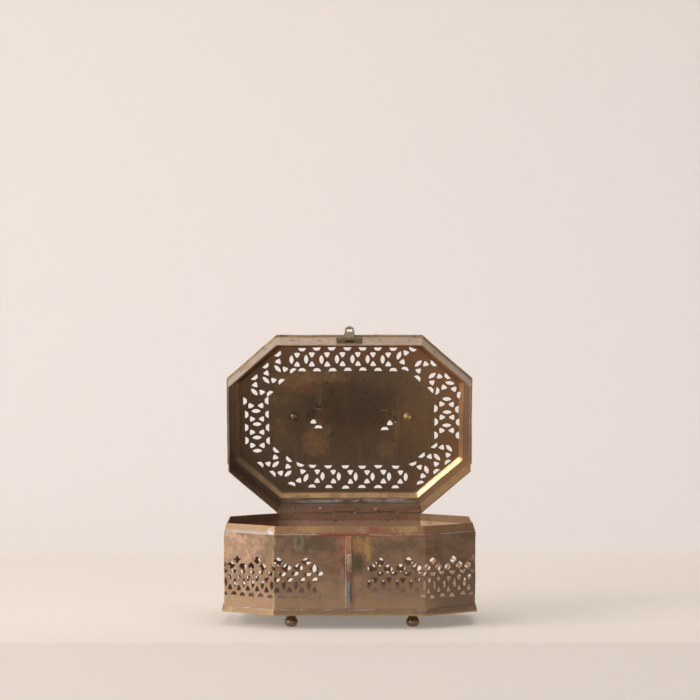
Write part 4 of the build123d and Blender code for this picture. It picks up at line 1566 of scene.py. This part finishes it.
def strap(name, width, points, side, bend, thickness, ease=0.3, turn_inside=False):
    """A strap of one width through points in millimetres. Its width runs along side (0 or 1)."""
    clear_bench()
    bpy.ops.mesh.primitive_plane_add(size=1)
    piece = bpy.context.object
    first, second = Vector(points[0]), Vector(points[1])
    run = second - first
    other = 1 - side
    piece.location = (first + second) / 2 * mm
    scale = [width * mm, width * mm, 1]
    scale[other] = abs(run[other]) * mm
    piece.scale = scale
    fix_place(piece, name)
    with editing(piece):
        ahead = 1 if run[other] > 0 else -1
        pick(piece, "edges", lambda e: (middle(e)[other] - second[other]) * ahead > -0.01)
        for start, end in zip(points[1:], points[2:]):
            extrude(*(Vector(end) - Vector(start)))
        corners = [Vector(p) for p in points[1:-1]]
        pick(
            piece, "edges",
            lambda e: abs(along(e)[side]) > 0.9
            and any(
                abs(middle(e)[other] - c[other]) < 0.01 and abs(middle(e).z - c.z) < 0.01
                for c in corners
            ),
        )
        bevel(bend, 8)
        select_all()
        bpy.ops.mesh.normals_make_consistent(inside=False)
        if turn_inside:
            bpy.ops.mesh.flip_normals()
    thicken(piece, thickness)
    face_outwards(piece)
    if ease:
        soften(piece, ease, 3, 50)
    return shade(piece, 40)


staple_low, staple_high, staple_reach, staple_width, staple_bar = 42.4, 56.7, 7.0, 3.6, 1.5
seam_face = -wall_depth / 2 - seam_thickness
staple = strap(
    "staple", staple_width,
    [
        (0, seam_face, staple_low), (0, seam_face - staple_reach, staple_low),
        (0, seam_face - staple_reach, staple_high), (0, seam_face, staple_high),
    ],
    0, 1.8, staple_bar, 0.45,
)
coat(staple, staple_brass)
hand_over(staple, "box", "hasp_staple")

# %% [markdown]
# ## Turning the lid open
#
# Everything on the lid is drawn as it lies when the lid is shut, and then turned about the
# hinge. Drawn that way, the lid's patterns of dents meet those of the body when it is shut.

# %% Opening the lid


def turn_about(piece, y, z, angle):
    """Turns the mesh of a piece about the line along X through y, z, in millimetres."""
    lay_out(piece)
    piece.data.transform(
        Matrix.Translation((0, y * mm, z * mm))
        @ Matrix.Rotation(radians(angle), 4, "X")
        @ Matrix.Translation((0, -y * mm, -z * mm))
    )
    return piece


def open_lid(piece):
    return turn_about(piece, hinge_y, hinge_z, -lid_open)


print("the lid opens by", lid_open, "degrees")

# %% [markdown]
# ## The lid's plate
#
# The plate was pressed from one sheet: a flat border, a slope and a raised panel. Two insets of
# an eight-sided face make the same shape, the second of them lifted. The bends of the slope are
# bevelled, because pressed sheet has no sharp corners. Then the panel is pierced.

# %% Lid plate
skirt_gap, skirt_depth, lid_lip = 0.3, 20.0, 1.4
skirt_foot = shoulder + (skirt_gap + sheet) * collar_height / collar_lean + 0.3
lid_underside = skirt_foot + skirt_depth
lid_top = lid_underside + sheet
riser_inset, riser_width, panel_rise = 5.5, 3.6, 3.6
panel_top = lid_top + panel_rise
left, right, front, back = -wall_width / 2, wall_width / 2, -wall_depth / 2, wall_depth / 2
lid_runs = (
    ((left + 49.6, front + 20.1), (right - 69.1, front + 20.1), 11.9, 0),
    ((right - 56.4, front + 17.2), (right - 56.4, front + 17.2), 11.9, 20),
    ((right - 41.1, front + 23.5), (right - 30.4, front + 33.5), 14.6, 46),
    ((right - 16.5, front + 39.8), (right - 16.5, front + 39.8), 11.0, 100),
    ((right - 18.6, front + 53.1), (right - 18.6, back - 64.9), 11.0, 90),
    ((right - 16.6, back - 46.1), (right - 26.2, back - 38.4), 12.3, 141),
    ((right - 34.4, back - 27.9), (right - 34.4, back - 27.9), 13.2, 160),
    ((right - 50.5, back - 22.0), (left + 73.5, back - 22.4), 13.2, 180),
    ((left + 60.5, back - 21.2), (left + 60.5, back - 21.2), 13.2, 200),
    ((left + 46.5, back - 24.9), (left + 36.8, back - 32.5), 12.3, 225),
    ((left + 22.6, back - 44.2), (left + 22.0, front + 62.8), 11.0, 270),
    ((left + 20.4, front + 47.2), (left + 38.8, front + 27.7), 13.4, 317),
    ((36.0, -1.0), (36.0, -1.0), 11.0, 180),
    ((-32.8, -2.2), (-32.8, -2.2), 11.0, 0),
)


def places_on_lid(runs):
    """Each strike's place and facing, along the runs."""
    for first, last, pitch, facing in runs:
        count = round(hypot(last[0] - first[0], last[1] - first[1]) / pitch)
        for i in range(count + 1):
            share = i / count if count else 0
            yield (
                first[0] + (last[0] - first[0]) * share,
                first[1] + (last[1] - first[1]) * share,
                facing,
            )


def lid_strikes(odd):
    """Every second strike of the lid, struck from the outside of the raised panel."""
    made = []
    for number, (x, y, facing) in enumerate(places_on_lid(lid_runs)):
        if number % 2 == odd:
            place = Matrix.Translation(Vector((x, y, panel_top - sheet / 2)) * mm)
            made.append(strike(crescent_tool, place @ Matrix.Rotation(radians(facing), 4, "Z")))
    return made


lid_plate = octagon_block("pressed_lid", skirt_gap - lid_lip, lid_underside, lid_top)
with editing(lid_plate):
    delete_faces(lid_plate, lambda f: f.normal.z < 0.5)
    pick(lid_plate, "faces", lambda f: True)
    bpy.ops.mesh.inset(thickness=(riser_inset - skirt_gap + lid_lip) * mm, depth=0)
    bpy.ops.mesh.inset(thickness=riser_width * mm, depth=panel_rise * mm)
    bends = pick(
        lid_plate, "edges",
        lambda e: len(e.link_faces) == 2 and abs(e.verts[0].co.z - e.verts[1].co.z) < 0.1 * mm,
    )
    print(bends, "level bends")
    bevel(0.7, 3)
score_both_ways(lid_plate, 5)
coat(lid_plate, lid_outside, lid_inside, cut_edge)
thicken(lid_plate, sheet, 1, 2)
for odd in (0, 1):
    pierce(lid_plate, lid_strikes(odd))
dent(lid_plate)
open_lid(lid_plate)
shade(lid_plate, 30)
hand_over(lid_plate, "lid", "lid_plate")

# %% [markdown]
# ## The lid's skirt
#
# A band of sheet hangs from the plate. It is notched at the back for the lid's two knuckles,
# and its two ends meet beside the hinge, where a dark groove shows inside. A small flower was
# struck into it from outside every few centimetres, and each blow left a low bump inside.

# %% Lid skirt
knuckle_radius, hinge_left, hinge_corner_gap = 1.6, -29.0, 2.07
hinge_right = octagon(skirt_gap + sheet)[3][0] - hinge_corner_gap
knuckle_pitch = (hinge_right - hinge_left) / 5
notch_top = hinge_z + knuckle_radius + 0.5


def box_cutter(low, high, cut=cut_edge):
    """A cube from one corner to the other, in millimetres, for cutting."""
    clear_bench()
    low, high = Vector(low), Vector(high)
    bpy.ops.mesh.primitive_cube_add(size=1, location=(low + high) / 2 * mm)
    cutter = bpy.context.object
    cutter.scale = (high - low) * mm
    fix_place(cutter, "cutter")
    cutter.data.materials.append(cut)
    return cutter


def flower_tool():
    """Six petals round a centre, for a shallow stamp."""
    petals = [cylinder(0.42, 6, reach=1.2)]
    for i in range(6):
        angle = pi * i / 3
        petals.append(cylinder(0.5, 6, 1.25 * cos(angle), 1.25 * sin(angle), reach=1.2))
    return join(petals, "flower_tool")


def skirt_places():
    """Where the flowers were struck: two to four on each flat of the skirt."""
    for flat, length, start in flats():
        count = 2 if length < 60 else 3 if length < 75 else 5
        for i in range(count):
            s = (i + 0.5) / count * length - length / 2 + chance.uniform(-2.0, 2.0)
            height = (skirt_foot + lid_underside) / 2 + 1.5 + chance.uniform(-1.2, 1.2)
            yield flat, s, height


lid_skirt = octagon_band("lid_skirt_band", skirt_gap, skirt_foot, lid_underside)
coat(lid_skirt, skirt_outside, skirt_inside, cut_edge)
thicken(lid_skirt, sheet, 1, 2)
for number in (1, 3):
    start = hinge_left + number * knuckle_pitch
    end = start + knuckle_pitch
    notch = box_cutter((start, back - 3, skirt_foot - 2), (end, back + 3, notch_top))
    combine(lid_skirt, notch, "DIFFERENCE")
seam_x = hinge_right + 1.7
groove = box_cutter(
    (seam_x - 0.4, back - 3.5, skirt_foot - 2),
    (seam_x + 0.4, back - skirt_gap - 0.15, lid_underside - 3),
    grime,
)
combine(lid_skirt, groove, "DIFFERENCE")
flower = flower_tool()
clear_bench()
bpy.ops.mesh.primitive_uv_sphere_add(segments=12, ring_count=6, radius=1.7 * mm)
bulge = bpy.context.object
bulge.scale = (0.8, 0.8, 0.38)
fix_place(bulge, "bulge")
stamp_lift = 0.38
stamps, bulges = [], []
for flat, s, height in skirt_places():
    on_skirt = flat @ Matrix.Translation(Vector((s, height, -skirt_gap)) * mm)
    stamps.append(strike(flower, on_skirt @ Matrix.Translation((0, 0, stamp_lift * mm))))
    bulges.append(strike(bulge, on_skirt @ Matrix.Translation((0, 0, -sheet * mm))))
print(len(stamps), "flowers on the skirt")
pierce(lid_skirt, stamps, grime)
bumps_inside = join(bulges, "bulges")
bumps_inside.data.materials.append(cut_edge)
combine(lid_skirt, bumps_inside, "UNION")
for tool in (flower, bulge):
    bpy.data.objects.remove(tool)
dent(lid_skirt)
open_lid(lid_skirt)
shade(lid_skirt, 30)
hand_over(lid_skirt, "lid", "lid_skirt")

# %% [markdown]
# ## The handle and its rivets
#
# The handle is a strap across the outside of the lid, bent up in the middle to leave room for
# the fingers. Two rivets hold it. Their round heads are inside the lid, where they show, and
# their hammered ends are on the strap.

# %% Handle
handle_x, handle_y, handle_half_span = 1.0, -2.6, 44.6
handle_foot, handle_width, handle_thickness, handle_rise, slope_run = 6.5, 11.5, 1.6, 22.0, 24.0
end_x = handle_half_span + handle_foot
bend_x = handle_half_span - handle_foot
grip_x = bend_x - slope_run
handle = strap(
    "strap_handle", handle_width,
    [
        (handle_x + s * x, handle_y, z)
        for s, x, z in (
            (-1, end_x, panel_top), (-1, bend_x, panel_top), (-1, grip_x, panel_top + handle_rise),
            (1, grip_x, panel_top + handle_rise), (1, bend_x, panel_top), (1, end_x, panel_top),
        )
    ],
    1, 3.0, handle_thickness, 0.35, True,
)
coat(handle, hasp_brass)
open_lid(handle)
hand_over(handle, "lid", "handle_strap")

rivet_shape = turned_piece(
    "handle_rivet",
    [
        (1.7, -3.3), (2.4, -3.2), (2.8, -2.7), (2.7, -2.45), (1.7, -2.4), (1.7, 0.0), (3.5, 0.02),
        (3.45, 0.35), (3.15, 1.0), (2.6, 1.55), (1.9, 1.95), (1.1, 2.15), (0.35, 2.2),
    ],
)
coat(rivet_shape, dome_brass)
panel_underside = panel_top - sheet
for side, x in (("left", handle_x - handle_half_span), ("right", handle_x + handle_half_span)):
    head_down = Matrix.Rotation(pi, 4, "X")
    rivet = copy_to(
        rivet_shape, f"domed_rivet_{side}", head_down, (x, handle_y, panel_underside)
    )
    open_lid(rivet)
    hand_over(rivet, "lid", f"handle_rivet_{side}")
bpy.data.objects.remove(rivet_shape)

# %% [markdown]
# ## The hasp's tongue
#
# The tongue is a pointed leaf with a slot that drops over the staple. It is drawn hanging over
# the staple: a plane, lengthened by extruding its lower edge and scaling it to each width. The
# slot is cut and the knuckle added. Then it is turned back over the lid's edge, as it stands in
# the picture, and opened with the lid.

# %% Hasp tongue
hasp_y, hasp_z, hasp_knuckle = -72.6, lid_underside - 14.0, 1.7
tongue_face, tongue_thickness, tongue_turned_back = -70.9, 0.9, 188.08
tongue_widths = ((0.0, 3.4), (4.0, 3.4), (10.0, 4.2), (40.53, 3.2), (47.9, 0.35))
slot_top, slot_bottom, slot_half_width = 21.43, 39.13, 2.15
clear_bench()
bpy.ops.mesh.primitive_plane_add(size=1, rotation=(pi / 2, 0, 0))
tongue = bpy.context.object
tongue.location = (0, tongue_face * mm, (hasp_z - tongue_widths[1][0] / 2) * mm)
tongue.scale = (2 * tongue_widths[0][1] * mm, tongue_widths[1][0] * mm, 1)
fix_place(tongue, "hasp_leaf_tongue")
coat(tongue, hasp_brass)
with editing(tongue):
    pick(tongue, "edges", lambda e: middle(e).z < hasp_z - tongue_widths[1][0] + 0.1)
    for (upper, wide), (lower, narrow) in zip(tongue_widths[1:], tongue_widths[2:]):
        extrude(0, 0, upper - lower)
        resize(narrow / wide, 1, 1, (0, tongue_face * mm, 0))
    select_all()
    bpy.ops.mesh.normals_make_consistent(inside=False)
modifier = tongue.modifiers.new("thickness", "SOLIDIFY")
modifier.thickness = tongue_thickness * mm
modifier.offset = 1
apply_all(tongue)
slot = box_cutter(
    (-slot_half_width, tongue_face - 4, hasp_z - slot_bottom),
    (slot_half_width, tongue_face + 4, hasp_z - slot_top),
)
with editing(slot):
    pick(slot, "edges", lambda e: abs(along(e).y) > 0.9)
    bevel(1.0, 4)
combine(tongue, slot, "DIFFERENCE")
knuckle = cylinder(hasp_knuckle, 24, reach=2 * tongue_widths[0][1])
with editing(knuckle):
    bpy.ops.transform.rotate(value=pi / 2, orient_axis="Y", center_override=(0, 0, 0))
    bpy.ops.transform.translate(value=(0, hasp_y * mm, hasp_z * mm))
coat(knuckle, hasp_brass)
combine(tongue, knuckle, "UNION")
soften(tongue, 0.28, 3, 50)
turn_about(tongue, hasp_y, hasp_z, -tongue_turned_back)
open_lid(tongue)
shade(tongue, 40)
hand_over(tongue, "hasp", "hasp_tongue")

# %% [markdown]
# ## Pieces that keep their exact shape
#
# The hinge, its pins and small rivets, the hasp's leaf and the floor are already the right
# shape in the frame. They keep it, and only get a finish.

# %% Finishes for the frame's own pieces
for name, material in {
    "floor_plate": floor_brass,
    "hinge_body_leaf": hinge_brass,
    "hinge_lid_leaf": hinge_brass,
    "hinge_body_rivets": cut_edge,
    "hinge_lid_rivets": worn_head,
    "hinge_pin": fitting_brass,
    "hasp_leaf": hasp_brass,
    "hasp_rivets": fitting_brass,
    "hasp_pin": fitting_brass,
}.items():
    nodes[name].data.materials.clear()
    nodes[name].data.materials.append(material)
print("nine nodes of the frame are finished as they are")

# %% [markdown]
# ## Putting the tools away
#
# The cutters are no part of the box, so they go.

for tool in (crescent_tool, trefoil_tool):
    bpy.data.objects.remove(tool)
